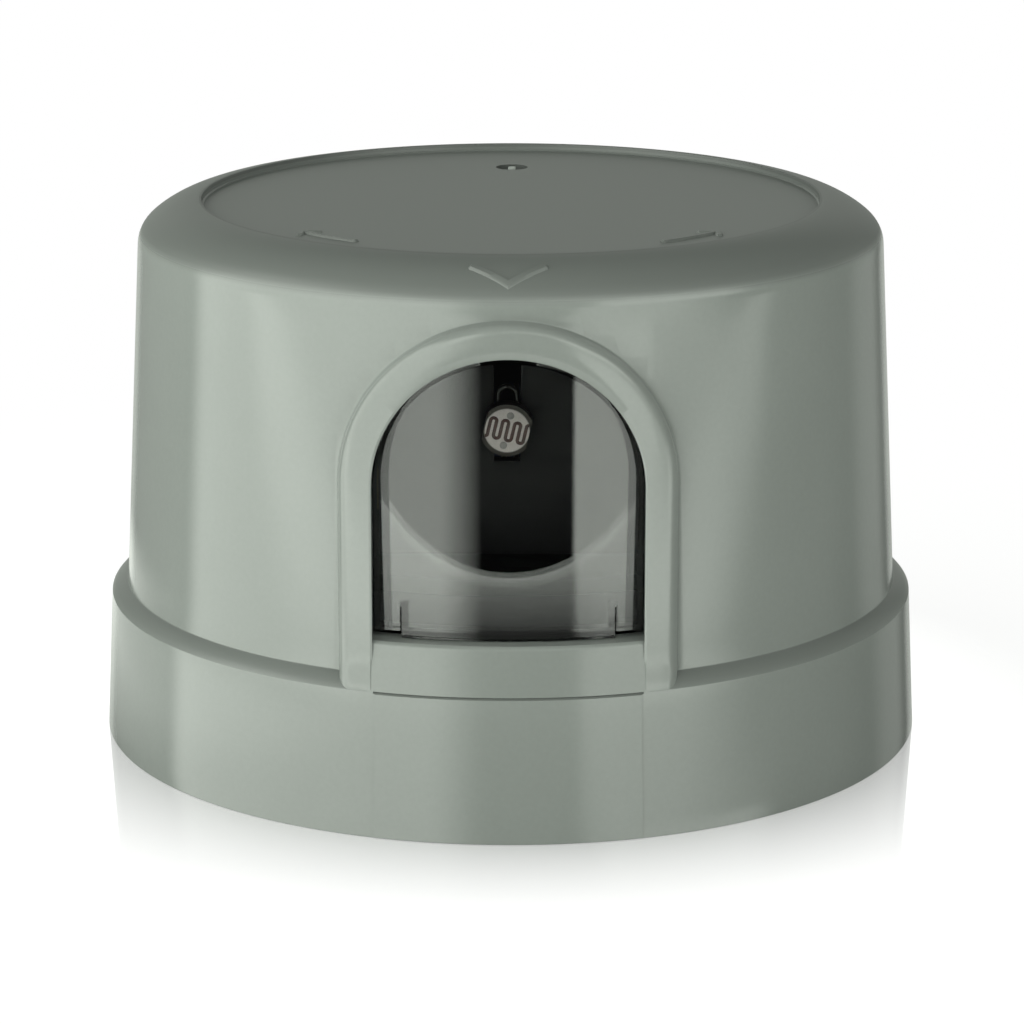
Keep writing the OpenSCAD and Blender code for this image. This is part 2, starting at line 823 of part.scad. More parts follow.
module varistor() {
    r = varistor_d / 2;
    color("#2a56a0")
    union() {
        translate([varistor_at.x, varistor_at.y, board_top_z + varistor_lift + r])
            rotate([0, 90, 0])
                rotate_extrude() {
                    translate([0, -varistor_t / 2])
                        square([r - varistor_edge_r, varistor_t]);
                    translate([0, varistor_edge_r - varistor_t / 2])
                        square([r, varistor_t - 2 * varistor_edge_r]);
                    for (side = [-1, 1])
                        translate([r - varistor_edge_r, side * (varistor_t / 2 - varistor_edge_r)])
                            circle(varistor_edge_r);
                }
        leads(varistor_leads, board_top_z + varistor_lift + r / 2);
    }
}

module power_resistor() {
    z = board_top_z + power_lift + power_d / 2;
    color("#8d9a86")
    union() {
        axial_body(power_at, power_d, power_len, z);
        axial_leads(power_at, power_pitch, z);
    }
}

module small_resistors() {
    z = board_top_z + axial_lift + resistor_d / 2;
    cap_x = (resistor_len - resistor_cap_len) / 2;
    color("#c9a877")
    for (c = resistors_at) {
        axial_body(c, resistor_d - 2 * resistor_waist, resistor_len, z);
        for (side = [-1, 1])
            axial_body(c + [side * cap_x, 0], resistor_d, resistor_cap_len, z);
        axial_leads(c, axial_pitch, z);
    }
}

module rectifier_diodes() {
    z = board_top_z + axial_lift + diode_d / 2;
    color("#1d1e20")
    for (c = diodes_at) {
        axial_body(c, diode_d, diode_len, z);
        axial_leads(c, axial_pitch, z);
    }
}

module zener_diode() {
    z = board_top_z + axial_lift + zener_d / 2;
    color("#b5562b")
    union() {
        axial_body(zener_at, zener_d, zener_len, z);
        axial_leads(zener_at, zener_pitch, z);
    }
}

module transistor() {
    z = board_top_z + transistor_lift;
    color("#1d1e20")
    union() {
        translate([transistor_at.x, transistor_at.y, z])
            linear_extrude(transistor_h)
                intersection() {
                    circle(d = transistor_d);
                    translate([-transistor_d / 2, -transistor_flat])
                        square(transistor_d);
                }
        leads(transistor_leads, z + overlap);
    }
}

cover();
window_lens();
base_plate();
base_gasket();
line_blade();
load_blade();
neutral_blade();
circuit_board();
board_screws();
photocell_holder();
photocell();
relay();
film_capacitor();
electrolytic_capacitor();
varistor();
power_resistor();
small_resistors();
rectifier_diodes();
zener_diode();
transistor();
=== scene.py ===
"""Finishes a plug-in photocell switch for a street light, around its packed CAD model.

Run as a script. Each piece has its own operator, and the sidebar panel lists them all.
"""

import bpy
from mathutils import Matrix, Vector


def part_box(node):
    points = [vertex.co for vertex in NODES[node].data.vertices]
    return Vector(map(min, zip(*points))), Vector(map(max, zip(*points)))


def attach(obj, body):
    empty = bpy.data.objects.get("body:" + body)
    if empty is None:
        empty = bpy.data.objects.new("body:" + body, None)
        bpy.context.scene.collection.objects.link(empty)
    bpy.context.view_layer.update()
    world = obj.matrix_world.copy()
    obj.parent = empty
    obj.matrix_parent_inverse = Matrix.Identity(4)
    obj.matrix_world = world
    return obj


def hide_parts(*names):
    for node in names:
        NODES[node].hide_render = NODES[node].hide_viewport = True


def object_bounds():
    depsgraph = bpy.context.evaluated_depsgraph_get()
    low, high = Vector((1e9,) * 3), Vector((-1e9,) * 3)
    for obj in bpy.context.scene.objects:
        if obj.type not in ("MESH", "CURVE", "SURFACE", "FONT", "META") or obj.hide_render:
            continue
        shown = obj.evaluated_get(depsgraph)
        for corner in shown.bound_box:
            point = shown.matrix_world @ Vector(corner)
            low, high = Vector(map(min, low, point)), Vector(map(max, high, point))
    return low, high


bl_info = {
    "name": "Photocell switch",
    "version": (1, 0, 0),
    "blender": (4, 5, 0),
    "location": "3D View > Sidebar > Photocell switch",
    "description": "Finishes a plug-in photocell switch for a street light",
    "category": "Object",
}

import math
from contextlib import contextmanager

import bmesh
import bpy
from bpy.props import FloatProperty, FloatVectorProperty, IntProperty, PointerProperty
from mathutils import Matrix, Vector

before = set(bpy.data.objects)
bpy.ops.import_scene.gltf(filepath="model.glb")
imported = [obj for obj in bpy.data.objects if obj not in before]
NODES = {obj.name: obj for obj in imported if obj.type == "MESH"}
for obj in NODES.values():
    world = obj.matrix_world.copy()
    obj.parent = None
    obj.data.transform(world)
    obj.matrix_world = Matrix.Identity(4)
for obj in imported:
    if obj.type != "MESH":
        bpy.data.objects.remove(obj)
CAD_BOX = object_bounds()
BODY = "root"
MM = 0.001
TINY = 1e-7
WELD = 2e-6
FRONT = -math.pi / 2

# Places that the CAD model gives
LENS_LOW, LENS_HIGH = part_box("window_lens")
CELL_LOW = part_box("photocell")[0]
BOARD_LOW, BOARD_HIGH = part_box("circuit_board")
BASE_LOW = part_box("base_plate")[0]
SCREWS_LOW, SCREWS_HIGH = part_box("board_screws")


# Kinds of setting

def length(name, description, millimetres):
    """A size, written in millimetres and held in metres."""
    return FloatProperty(name=name, description=description, default=millimetres * MM,
                         precision=5, unit="LENGTH")


def turn(name, description, degrees):
    """An angle, written in degrees and held in radians."""
    return FloatProperty(name=name, description=description, default=math.radians(degrees),
                         precision=3, subtype="ANGLE")


def paint(name, description, colour):
    """A surface colour, in linear light."""
    return FloatVectorProperty(name=name, description=description, default=colour,
                               size=3, min=0.0, max=1.0, subtype="COLOR")


class CoverSettings(bpy.types.PropertyGroup):
    """Sizes and colour of the moulded cover."""

    skirt_d: length("Skirt diameter", "Across the lower rim", 84.0)
    skirt_wall: length("Skirt wall", "Thickness of the skirt", 2.2)
    draft: turn("Draft", "Slope of the outer walls", 3.0)
    ledge_z: length("Ledge height", "From the rim to the ledge", 15.5)
    ledge_w: length("Ledge width", "Step from the skirt to the body", 1.6)
    ledge_drop: length("Ledge drop", "Fall of the ledge from the body to the skirt", 1.25)
    ledge_bow: length("Ledge bow", "How far the ledge swells between its two edges", 0.13)
    ledge_edge_r: length("Ledge edges", "Rounding of the ledge's two edges", 0.15)
    edge_r: length("Rim edge", "Rounding of the lower rim", 0.08)
    wall: length("Body wall", "Thickness of the body", 2.0)
    seat_t: length("Seat depth", "From the ledge down to the seat of the base", 2.3)
    top_t: length("Top thickness", "Thickness under the recess", 2.0)
    height: length("Height", "Height to which the shoulder's arc rises", 54.7)
    side_r: length("Side radius", "Small arc of the shoulder", 3.1)
    top_r: length("Top radius", "Large arc of the shoulder", 9.3)
    shoulder_turn: turn("Shoulder turn", "Angle at which the arcs meet", 50.0)
    inner_corner_r: length("Inner corner", "Radius inside, under the shoulder", 3.5)
    top_rim_w: length("Top rim", "Width of the rim round the recess", 6.5)
    recess_depth: length("Recess depth", "Depth of the recess in the top", 0.75)
    bead_w: length("Bead width", "Width of the bead round the window", 3.2)
    bead_proud: length("Bead height", "Height of the bead at the ledge", 1.3)
    bead_draft: turn("Bead draft", "Slope of the bead's face", 1.7)
    bead_edge_r: length("Bead edge", "Rounding of the bead's outer edge", 1.0)
    bead_blend_h: length("Bead blend", "Height over which the legs run out into the skirt", 3.0)
    sill_proud: length("Sill height", "Height of the sill panel over the body", 0.9)
    sill_drop: length("Sill drop", "From the ledge down to the foot of the sill panel", 1.3)
    sill_groove: length("Sill groove", "Width of the groove under the sill panel", 0.22)
    panel_proud: length("Parting step", "Step of the skirt between the window's lines", 0.07)
    gate_d: length("Gate diameter", "Dimple of the moulding gate", 3.4)
    gate_nub_d: length("Gate nub", "Stub in the dimple", 0.8)
    gate_depth: length("Gate depth", "Depth of the dimple", 0.45)
    gate_y: length("Gate place", "From the axis back to the gate", 20.5)
    mark_w: length("Mark width", "Width of the raised marks", 0.7)
    mark_h: length("Mark height", "Height of the raised marks", 0.22)
    # Besides making them matt, the matt shade paints the matt faces darker: painted shade
    matt_depth: length("Matt depth", "How far the matt top reaches down the shoulder", 3.3)
    matt_painted_shade: FloatProperty(name="Matt shade", description="Darkening of the matt faces", default=0.64)
    columns: IntProperty(name="Columns", description="Faces round the cover", default=360, min=48)
    colour: paint("Plastic", "Grey-green of the moulding", (0.2, 0.215, 0.203))


class LensSettings(bpy.types.PropertyGroup):
    """Sizes and colour of the clear insert."""

    flange_w: length("Flange width", "Flange behind the wall, round the opening", 2.2)
    flange_t: length("Flange thickness", "Thickness of the flange", 1.4)
    pane_t: length("Pane thickness", "Thickness of the pane", 1.8)
    setback: length("Setback", "How far the pane lies behind its CAD face", 0.4)
    side_t: length("Side thickness", "Thickness of the walls behind the pane", 0.7)
    gap: length("Gap", "Room round the insert", 0.15)
    slit_w: length("Slit width", "Width of the slits at the foot", 0.12)
    slit_h: length("Slit height", "Height of the slits at the foot", 3.0)
    slit_inset: length("Slit inset", "From the side of the opening to a slit", 2.7)
    corner_gap: length("Corner gap", "Height of the gap under the corners", 0.6)
    colour: paint("Acrylic", "Tint of the clear plastic", (0.93, 0.95, 0.93))


class CellSettings(bpy.types.PropertyGroup):
    """Sizes and colours of the light sensor."""

    across_flats: length("Across flats", "Width of the disc between its flats", 4.3)
    thickness: length("Thickness", "Thickness of the disc", 2.0)
    centre_x: length("Centre", "Place of the disc to the right of the axis", -0.2)
    lift: length("Lift", "Height of its centre over the board", 12.8)
    roll: turn("Roll", "Turn of the disc, clockwise from the front", 13.0)
    lead_pitch: length("Lead pitch", "Distance of the two leads", 3.0)
    strokes: IntProperty(name="Strokes", description="Strokes of the track", default=7, min=3)
    stroke_pitch: length("Stroke pitch", "Distance of the strokes", 0.58)
    stroke_h: length("Stroke height", "Height of the strokes", 1.9)
    track_r: length("Track radius", "Radius of the track's ridge", 0.25)
    face_w: length("Face width", "Width of the electrodes", 4.35)
    face_h: length("Face height", "Height of the electrodes", 4.3)
    track_colour: paint("Track", "Dark red of the light-sensitive track", (0.05, 0.011, 0.01))
    face_colour: paint("Face", "Silvery electrodes", (0.62, 0.55, 0.55))


class StageSettings(bpy.types.PropertyGroup):
    """Camera, table and lamps."""

    lens: FloatProperty(name="Lens", description="Focal length in millimetres", default=131.45)
    distance: length("Distance", "From the aim to the camera", 387.8)
    azimuth: turn("Azimuth", "Turn of the camera round the object", 0.33)
    elevation: turn("Elevation", "Height of the camera over the horizon", 15.0)
    aim_x: length("Aim to the right", "Point that the camera looks at", 0.13)
    aim_z: length("Aim height", "Point that the camera looks at", 21.3)
    table_front: length("Table front", "From the axis to the middle of the front edge", 127.0)
    table_bow: length("Table bow", "How far the front edge swings forward at the bow's reach", 9.1)
    bow_reach: length("Bow reach", "Distance from the middle at which the bow is measured", 97.0)
    table_r: length("Table reach", "Reach of the table behind and beside", 900.0)
    table_hole_r: length("Table hole", "Hidden opening under the object", 41.9)
    sheen_reach: length("Sheen reach", "Reach of the reflection on the table", 18.0)
    shade_reach: length("Shade reach", "Reach of the shadow on the table", 110.0)
    lamp_colour: paint("Lamps", "Tint of the soft boxes", (0.95, 1.0, 0.925))
    ambient: paint("Ambient", "Light of the room on matt faces", (0.32, 0.335, 0.315))
    dark: paint("Dark", "What glossy faces show of the room", (0.02, 0.02, 0.02))


# Meshes

@contextmanager
def editing(mesh):
    """Opens a mesh for work on its points and faces, and writes it back."""
    shape = bmesh.new()
    shape.from_mesh(mesh)
    yield shape
    shape.to_mesh(mesh)
    shape.free()


def link(name, mesh):
    """A new object that holds the mesh."""
    piece = bpy.data.objects.new(name, mesh)
    bpy.context.scene.collection.objects.link(piece)
    return piece


def solid(name, points, faces):
    """A closed solid from points and faces, with its faces turned outwards."""
    mesh = bpy.data.meshes.new(name)
    mesh.from_pydata(points, [], faces)
    with editing(mesh) as shape:
        bmesh.ops.remove_doubles(shape, verts=shape.verts, dist=TINY)
        bmesh.ops.recalc_face_normals(shape, faces=shape.faces)
    return link(name, mesh)


def arc(centre, radius, start, end, steps):
    """Points on a circle, from one angle to another."""
    angles = [start + (end - start) * i / steps for i in range(steps + 1)]
    return [(centre[0] + radius * math.cos(a), centre[1] + radius * math.sin(a)) for a in angles]


def rounded(before, corner, after, radius, steps=6):
    """Points of an arc that rounds the corner of an outline."""
    before, corner, after = Vector(before), Vector(corner), Vector(after)
    back, on = (before - corner).normalized(), (after - corner).normalized()
    half = back.angle(on) / 2
    centre = corner + (back + on).normalized() * radius / math.sin(half)
    reach = radius / math.tan(half)
    start, end = corner + back * reach - centre, corner + on * reach - centre
    first = math.atan2(start.y, start.x)
    sweep = math.remainder(math.atan2(end.y, end.x) - first, math.tau)
    return arc(centre, radius, first, first + sweep, steps)


def bowed(start, end, sag, steps):
    """Points of a shallow bow to the right of the way between two points, without its ends."""
    start, end = Vector(start), Vector(end)
    along = (end - start).normalized()
    aside = Vector((along.y, -along.x)) * 4 * sag
    shares = [i / steps for i in range(1, steps)]
    return [tuple(start.lerp(end, s) + aside * s * (1 - s)) for s in shares]


def stretch(start, end, steps):
    """Points that divide a straight line, without its ends."""
    return [tuple(Vector(start).lerp(Vector(end), i / steps)) for i in range(1, steps)]


def oblong(left, low, right, high):
    """Corners of an upright rectangle."""
    return [(left, low), (right, low), (right, high), (left, high)]


def revolve(name, outline, columns, start=0.0, sweep=math.tau):
    """Turns a closed outline of (radius, height) points about the Z axis. A part turn gets flat ends."""
    whole = sweep > math.tau - TINY
    rings = columns if whole else columns + 1
    points, at = [], {}
    for i, (r, z) in enumerate(outline):
        for k in range(rings):
            if r < TINY and k:
                at[i, k] = at[i, 0]
                continue
            a = start + sweep * k / columns
            at[i, k] = len(points)
            points.append((r * math.cos(a), r * math.sin(a), z))
    faces = []
    for i in range(len(outline)):
        j = (i + 1) % len(outline)
        for k in range(columns):
            n = (k + 1) % rings
            face = list(dict.fromkeys((at[i, k], at[i, n], at[j, n], at[j, k])))
            if len(face) > 2:
                faces.append(face)
    if not whole:
        faces.append([at[i, 0] for i in range(len(outline))])
        faces.append([at[i, columns] for i in reversed(range(len(outline)))])
    return solid(name, points, faces)


def prism(name, outline, y_front, y_back):
    """Pushes a flat outline of (x, z) points through along Y."""
    count = len(outline)
    points = [(x, y, z) for y in (y_front, y_back) for x, z in outline]
    faces = [list(range(count)), list(range(2 * count - 1, count - 1, -1))]
    faces += [[i, (i + 1) % count, (i + 1) % count + count, i + count] for i in range(count)]
    return solid(name, points, faces)


def sweep_loops(name, loops):
    """Joins a row of closed loops of points into one solid with flat ends."""
    count = len(loops[0])
    points = [p for loop in loops for p in loop]
    faces = [list(range(count)), list(range(len(points) - 1, len(points) - count - 1, -1))]
    for row in range(len(loops) - 1):
        low, high = row * count, (row + 1) * count
        faces += [[low + i, low + (i + 1) % count, high + (i + 1) % count, high + i]
                  for i in range(count)]
    return solid(name, points, faces)


def bake(piece):
    """Turns the piece with its modifiers into a plain mesh."""
    depsgraph = bpy.context.evaluated_depsgraph_get()
    mesh = bpy.data.meshes.new_from_object(piece.evaluated_get(depsgraph))
    old = piece.data
    piece.modifiers.clear()
    piece.data = mesh
    mesh.name = piece.name
    bpy.data.meshes.remove(old)
    return piece


def combine(piece, operation, *tools):
    """Adds, cuts or crosses the piece with other solids, which are used up."""
    for tool in tools:
        modifier = piece.modifiers.new("combine", "BOOLEAN")
        modifier.operation = operation
        modifier.solver = "MANIFOLD"
        modifier.object = tool
        bake(piece)
        if not piece.data.polygons:
            raise RuntimeError(f"nothing is left of {piece.name} after {tool.name}")
        mesh = tool.data
        bpy.data.objects.remove(tool)
        bpy.data.meshes.remove(mesh)
    return piece


def smooth(piece, degrees):
    """Merges doubles and shades the piece smooth, apart from edges sharper than the angle."""
    with editing(piece.data) as shape:
        bmesh.ops.remove_doubles(shape, verts=shape.verts, dist=WELD)
        bmesh.ops.dissolve_degenerate(shape, edges=shape.edges, dist=WELD)
    piece.data.shade_smooth()
    piece.data.set_sharp_from_angle(angle=math.radians(degrees))
    return piece


def mount(piece, slot, finish, *nodes):
    """Gives a finished piece its material and its body, and hides the CAD nodes that it stands for."""
    piece.data.materials.clear()
    piece.data.materials.append(finish)
    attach(piece, BODY)
    if nodes:
        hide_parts(*nodes)
    return piece


def smooth_copy(node, degrees, edge=0.0):
    """A merged copy of a CAD node with smooth shading and, where an edge is given, rounded edges."""
    piece = link(f"{node}_finished", NODES[node].data.copy())
    with editing(piece.data) as shape:
        bmesh.ops.remove_doubles(shape, verts=shape.verts, dist=WELD)
        bmesh.ops.dissolve_limit(shape, angle_limit=math.radians(0.5), verts=shape.verts,
                                 edges=shape.edges)
    if edge:
        bevel = piece.modifiers.new("edge", "BEVEL")
        bevel.width = edge
        bevel.segments = 2
        bevel.limit_method = "ANGLE"
        bevel.angle_limit = math.radians(40)
        bevel.use_clamp_overlap = True
        bake(piece)
    return smooth(piece, degrees)


# Node trees

def feed(tree, socket, value):
    """Links an output to a socket, or sets the socket's own value."""
    if isinstance(value, bpy.types.NodeSocket):
        tree.links.new(value, socket)
    else:
        socket.default_value = value


def add(tree, kind, inputs=None, **settings):
    """A new node with its settings, and with its inputs fed by name or number."""
    node = tree.nodes.new(kind)
    for key, value in settings.items():
        setattr(node, key, value)
    for socket, value in (inputs or {}).items():
        feed(tree, node.inputs[socket], value)
    return node


def mixed(tree, factor, first, second):
    """Mixes two colours, each a colour or the output of a node."""
    node = add(tree, "ShaderNodeMix", {"Factor": factor}, data_type="RGBA")
    for socket, value in zip([s for s in node.inputs if s.type == "RGBA"], (first, second)):
        feed(tree, socket, value)
    return [s for s in node.outputs if s.type == "RGBA"][0]


def tone(colour, factor=1.0):
    """A colour, darker or lighter by a factor, as the nodes take it."""
    return (*(min(1.0, c * factor) for c in colour), 1.0)


def new_tree(name, sockets):
    """An empty geometry tree with a geometry in and out, and named inputs."""
    tree = bpy.data.node_groups.new(name, "GeometryNodeTree")
    tree.is_modifier = True
    for way in ("INPUT", "OUTPUT"):
        tree.interface.new_socket("Geometry", in_out=way, socket_type="NodeSocketGeometry")
    for label, kind in (*sockets, ("Finish", "Material")):
        tree.interface.new_socket(label, in_out="INPUT", socket_type=f"NodeSocket{kind}")
    return tree, tree.nodes.new("NodeGroupInput").outputs, tree.nodes.new("NodeGroupOutput")


def close_tree(tree, given, end, geometry):
    """Ends a tree in Realize Instances and Set Material."""
    realize = add(tree, "GeometryNodeRealizeInstances", {"Geometry": geometry})
    painted = add(tree, "GeometryNodeSetMaterial", {"Geometry": realize.outputs["Geometry"],
                                                    "Material": given["Finish"]})
    feed(tree, end.inputs["Geometry"], painted.outputs["Geometry"])
    return tree


def path_tree():
    """A round ridge along a row of edges, with its corners rounded."""
    tree, given, end = new_tree("ridge_along_path", [("Radius", "Float"), ("Corner", "Float")])
    curve = add(tree, "GeometryNodeMeshToCurve", {"Mesh": given["Geometry"]})
    bends = add(tree, "GeometryNodeFilletCurve", {"Curve": curve.outputs["Curve"], "Count": 6,
                                                  "Radius": given["Corner"], "Limit Radius": True},
                mode="POLY")
    ring = add(tree, "GeometryNodeCurvePrimitiveCircle", {"Resolution": 12, "Radius": given["Radius"]})
    ridge = add(tree, "GeometryNodeCurveToMesh", {"Curve": bends.outputs["Curve"], "Fill Caps": True,
                                                  "Profile Curve": ring.outputs["Curve"]})
    shaded = add(tree, "GeometryNodeSetShadeSmooth", {"Geometry": ridge.outputs["Mesh"]})
    return close_tree(tree, given, end, shaded.outputs["Geometry"])


def scatter_tree():
    """One object at every point of the base mesh, each turned a little further."""
    tree, given, end = new_tree("copies_on_points", [("Pattern", "Object"), ("Turn", "Float")])
    pattern = add(tree, "GeometryNodeObjectInfo", {"Object": given["Pattern"]})
    index = add(tree, "GeometryNodeInputIndex")
    product = add(tree, "ShaderNodeMath", {0: index.outputs["Index"], 1: given["Turn"]},
                  operation="MULTIPLY")
    spin = add(tree, "ShaderNodeCombineXYZ", {"Z": product.outputs["Value"]})
    placed = add(tree, "GeometryNodeInstanceOnPoints", {"Points": given["Geometry"],
                                                        "Instance": pattern.outputs["Geometry"],
                                                        "Rotation": spin.outputs["Vector"]})
    return close_tree(tree, given, end, placed.outputs["Instances"])


def grow(name, tree, points, edges, **values):
    """Runs a tree on points and edges, and keeps the result as a plain mesh."""
    mesh = bpy.data.meshes.new(name)
    mesh.from_pydata(points, edges, [])
    piece = link(name, mesh)
    modifier = piece.modifiers.new("tree", "NODES")
    modifier.node_group = tree
    for item in tree.interface.items_tree:
        if item.in_out == "INPUT" and item.name in values:
            modifier[item.identifier] = values[item.name]
    bake(piece)
    if not piece.data.polygons:
        raise RuntimeError(f"{name} came out empty")
    return piece


# Finishes

class Finish:
    """A procedural material, with short calls for the nodes that the finishes share."""

    def __init__(self, name, colour, roughness, metallic=0.0, specular=0.5):
        self.material = bpy.data.materials.new(name)
        self.material.use_nodes = True
        self.tree = self.material.node_tree
        self.shader = self.tree.nodes["Principled BSDF"]
        self.colour = tone(colour)
        self.paint(self.colour)
        self.gloss(roughness)
        self.set("Metallic", metallic)
        self.set("Specular IOR Level", specular)
        self.place = self.node("ShaderNodeTexCoord").outputs["Object"]

    def set(self, socket, value):
        feed(self.tree, self.shader.inputs[socket], value)

    def paint(self, colour):
        self.set("Base Color", colour)

    def gloss(self, value):
        self.set("Roughness", value)

    def node(self, kind, inputs=None, **settings):
        return add(self.tree, kind, inputs, **settings)

    def noise(self, size, detail=3.0, stretch_by=(1.0, 1.0, 1.0)):
        """Noise whose grains are about that size, in metres."""
        place = self.node("ShaderNodeMapping", {"Vector": self.place, "Scale": stretch_by})
        grains = self.node("ShaderNodeTexNoise", {"Vector": place.outputs["Vector"],
                                                  "Scale": 1.0 / size, "Detail": detail})
        return grains.outputs["Fac"]

    def remap(self, value, low, high, to_low=0.0, to_high=1.0):
        """A value carried from one range to another, which it doesn't leave."""
        ranges = {"From Min": low, "From Max": high, "To Min": to_low, "To Max": to_high}
        return self.node("ShaderNodeMapRange", {"Value": value, **ranges}).outputs["Result"]

    def uneven(self, factor, low=0.0, high=1.0):
        """The middle part of a noise, spread between two values."""
        return self.remap(factor, 0.3, 0.7, low, high)

    def blend(self, factor, first, second):
        return mixed(self.tree, factor, first, second)

    def math(self, operation, first, second=0.0):
        return self.node("ShaderNodeMath", {0: first, 1: second}, operation=operation).outputs["Value"]

    def times(self, first, second):
        return self.math("MULTIPLY", first, second)

    def axis(self, name):
        """One coordinate of the place on the piece."""
        return self.node("ShaderNodeSeparateXYZ", {"Vector": self.place}).outputs[name]

    def span(self, vector):
        """Length of a vector."""
        return self.node("ShaderNodeVectorMath", {0: vector}, operation="LENGTH").outputs["Value"]

    def radius(self, y=0.0):
        """Distance from an upright line through a point of the Y axis."""
        flat = self.node("ShaderNodeVectorMath", {0: self.place, 1: (1.0, 1.0, 0.0), 2: (0.0, -y, 0.0)},
                         operation="MULTIPLY_ADD")
        return self.span(flat.outputs["Vector"])

    def shade(self, factor, low, high, colour=None):
        """Colour that runs from darker to lighter with a factor."""
        colour = colour or self.colour[:3]
        return self.blend(factor, tone(colour, low), tone(colour, high))

    def bump(self, height, depth):
        """Fine relief, so many metres deep."""
        relief = self.node("ShaderNodeBump", {"Height": height, "Distance": depth, "Strength": 1.0})
        self.set("Normal", relief.outputs["Normal"])

    def moulded(self, cloud, speck, rough_low, rough_high, depth):
        """Cloudy colour, uneven gloss and a fine grain, as on moulded plastic."""
        clouds = self.times(self.uneven(self.noise(cloud)), 0.6)
        specks = self.times(self.remap(self.noise(speck, 2.0), 0.25, 0.75), 0.4)
        colour = self.shade(self.math("ADD", clouds, specks), 0.95, 1.05)
        self.paint(colour)
        self.gloss(self.uneven(self.noise(cloud * 0.4), rough_low, rough_high))
        self.bump(self.noise(speck * 0.5), depth)
        return colour

    def tinned(self, mask, colour):
        """Bare tinned wire where the mask is 1, the given colour elsewhere."""
        tin = self.shade(self.noise(0.0006), 0.85, 1.08, (0.72, 0.71, 0.69))
        self.paint(self.blend(mask, colour, tin))
        self.set("Metallic", mask)
        self.gloss(self.remap(mask, 0.0, 1.0, 0.42, 0.28))

    def beyond(self, axis, centre, half):
        """1 where a coordinate lies further than half from the centre, 0 elsewhere."""
        away = self.math("ABSOLUTE", self.math("SUBTRACT", self.axis(axis), centre))
        return self.math("GREATER_THAN", away, half)

    def below(self, axis, level):
        return self.math("LESS_THAN", self.axis(axis), level)


def cover_finish(shape):
    """Glossy grey-green moulding, matt on its top and its ledge, where painted shade also darkens it."""
    cover = shape.cover
    gloss, matt_gloss = 0.15, 0.42
    # Factors of the painted shadow line and the painted shade in the gate, and of the painted highlight on
    # the stub
    lip_shadow_shade, gate_painted_shade, stub_highlight = 0.75 * cover.matt_painted_shade, 0.5 * cover.matt_painted_shade, 1.8
    lip_shadow_offset, lip_shadow_back, lip_shadow_front = 0.1 * MM, 0.12 * MM, 0.45 * MM
    ledge_top, blend, spare = cover.ledge_z + 0.7 * MM, 0.45 * MM, 0.01 * MM
    matt_z = cover.height - cover.matt_depth
    finish = Finish("cover_plastic", cover.colour, gloss)
    colour = finish.moulded(cloud=0.02, speck=0.0005, rough_low=0.13, rough_high=0.18, depth=2e-6)

    # Matt are the ledge, by how far it looks up, and all that lies above a level; the same mask darkens their
    # colour as painted shade
    normal = finish.node("ShaderNodeTexCoord").outputs["Normal"]
    upward = finish.node("ShaderNodeSeparateXYZ", {"Vector": normal}).outputs["Z"]
    ledge = finish.times(finish.remap(upward, 0.3, 0.75, 0.0, 0.75), finish.below("Z", ledge_top))
    matt = finish.math("MAXIMUM", ledge, finish.remap(finish.axis("Z"), matt_z - blend, matt_z + blend))
    # Painted shade: the matt faces take a darker colour
    colour = finish.blend(matt, colour, tone(cover.colour, cover.matt_painted_shade))

    # A painted shadow line round the lip of the recess, wider at the front, painted shade in the gate's
    # dimple and a painted highlight on its torn stub
    on_top = finish.math("GREATER_THAN", finish.axis("Z"), matt_z)
    # Painted shadow: a thin dark ring just outside the recess, wider towards the front
    from_lip = finish.math("ABSOLUTE", finish.math("SUBTRACT", finish.radius(), shape.recess_r + lip_shadow_offset))
    lip_shadow_w = finish.remap(finish.axis("Y"), 0.0, -shape.recess_r, lip_shadow_back, lip_shadow_front)
    line = finish.times(finish.math("LESS_THAN", from_lip, lip_shadow_w), on_top)
    # Painted shade darkens the gate's dimple, and a painted highlight lightens the stub in it
    from_gate = finish.radius(cover.gate_y)
    gate = finish.times(finish.math("LESS_THAN", from_gate, cover.gate_d / 2 + spare), on_top)
    stub = finish.times(gate, finish.math("LESS_THAN", from_gate, cover.gate_nub_d / 2 + spare))
    for mask, factor in ((line, lip_shadow_shade), (gate, gate_painted_shade), (stub, stub_highlight)):
        colour = finish.blend(mask, colour, tone(cover.colour, factor))
    finish.paint(colour)
    finish.gloss(finish.remap(matt, 0.0, 1.0, gloss, matt_gloss))
    return finish.material


def lens_finish(settings):
    """Clear polished acrylic, whose walls behind the pane are painted near black as painted shade of the dark
    inside.
    """
    finish = Finish("clear_plastic", settings.colour, 0.03)
    finish.set("Transmission Weight", 1.0)
    finish.set("IOR", 1.49)
    finish.gloss(finish.uneven(finish.noise(0.004), 0.009, 0.013))
    back_r = -LENS_LOW.y - settings.setback - settings.pane_t
    # Painted shade: the walls behind the pane get a near-black colour
    behind = finish.math("LESS_THAN", finish.radius(), back_r - 0.03 * MM)
    finish.paint(finish.blend(behind, finish.colour, (0.03, 0.03, 0.03, 1.0)))
    return finish.material


def dark_plastic(name, colour, rough_low, rough_high, depth):
    """Matt black moulding."""
    finish = Finish(name, colour, rough_low, specular=0.3)
    cloud, speck = 0.008, 0.0003
    finish.moulded(cloud, speck, rough_low, rough_high, depth)
    return finish.material


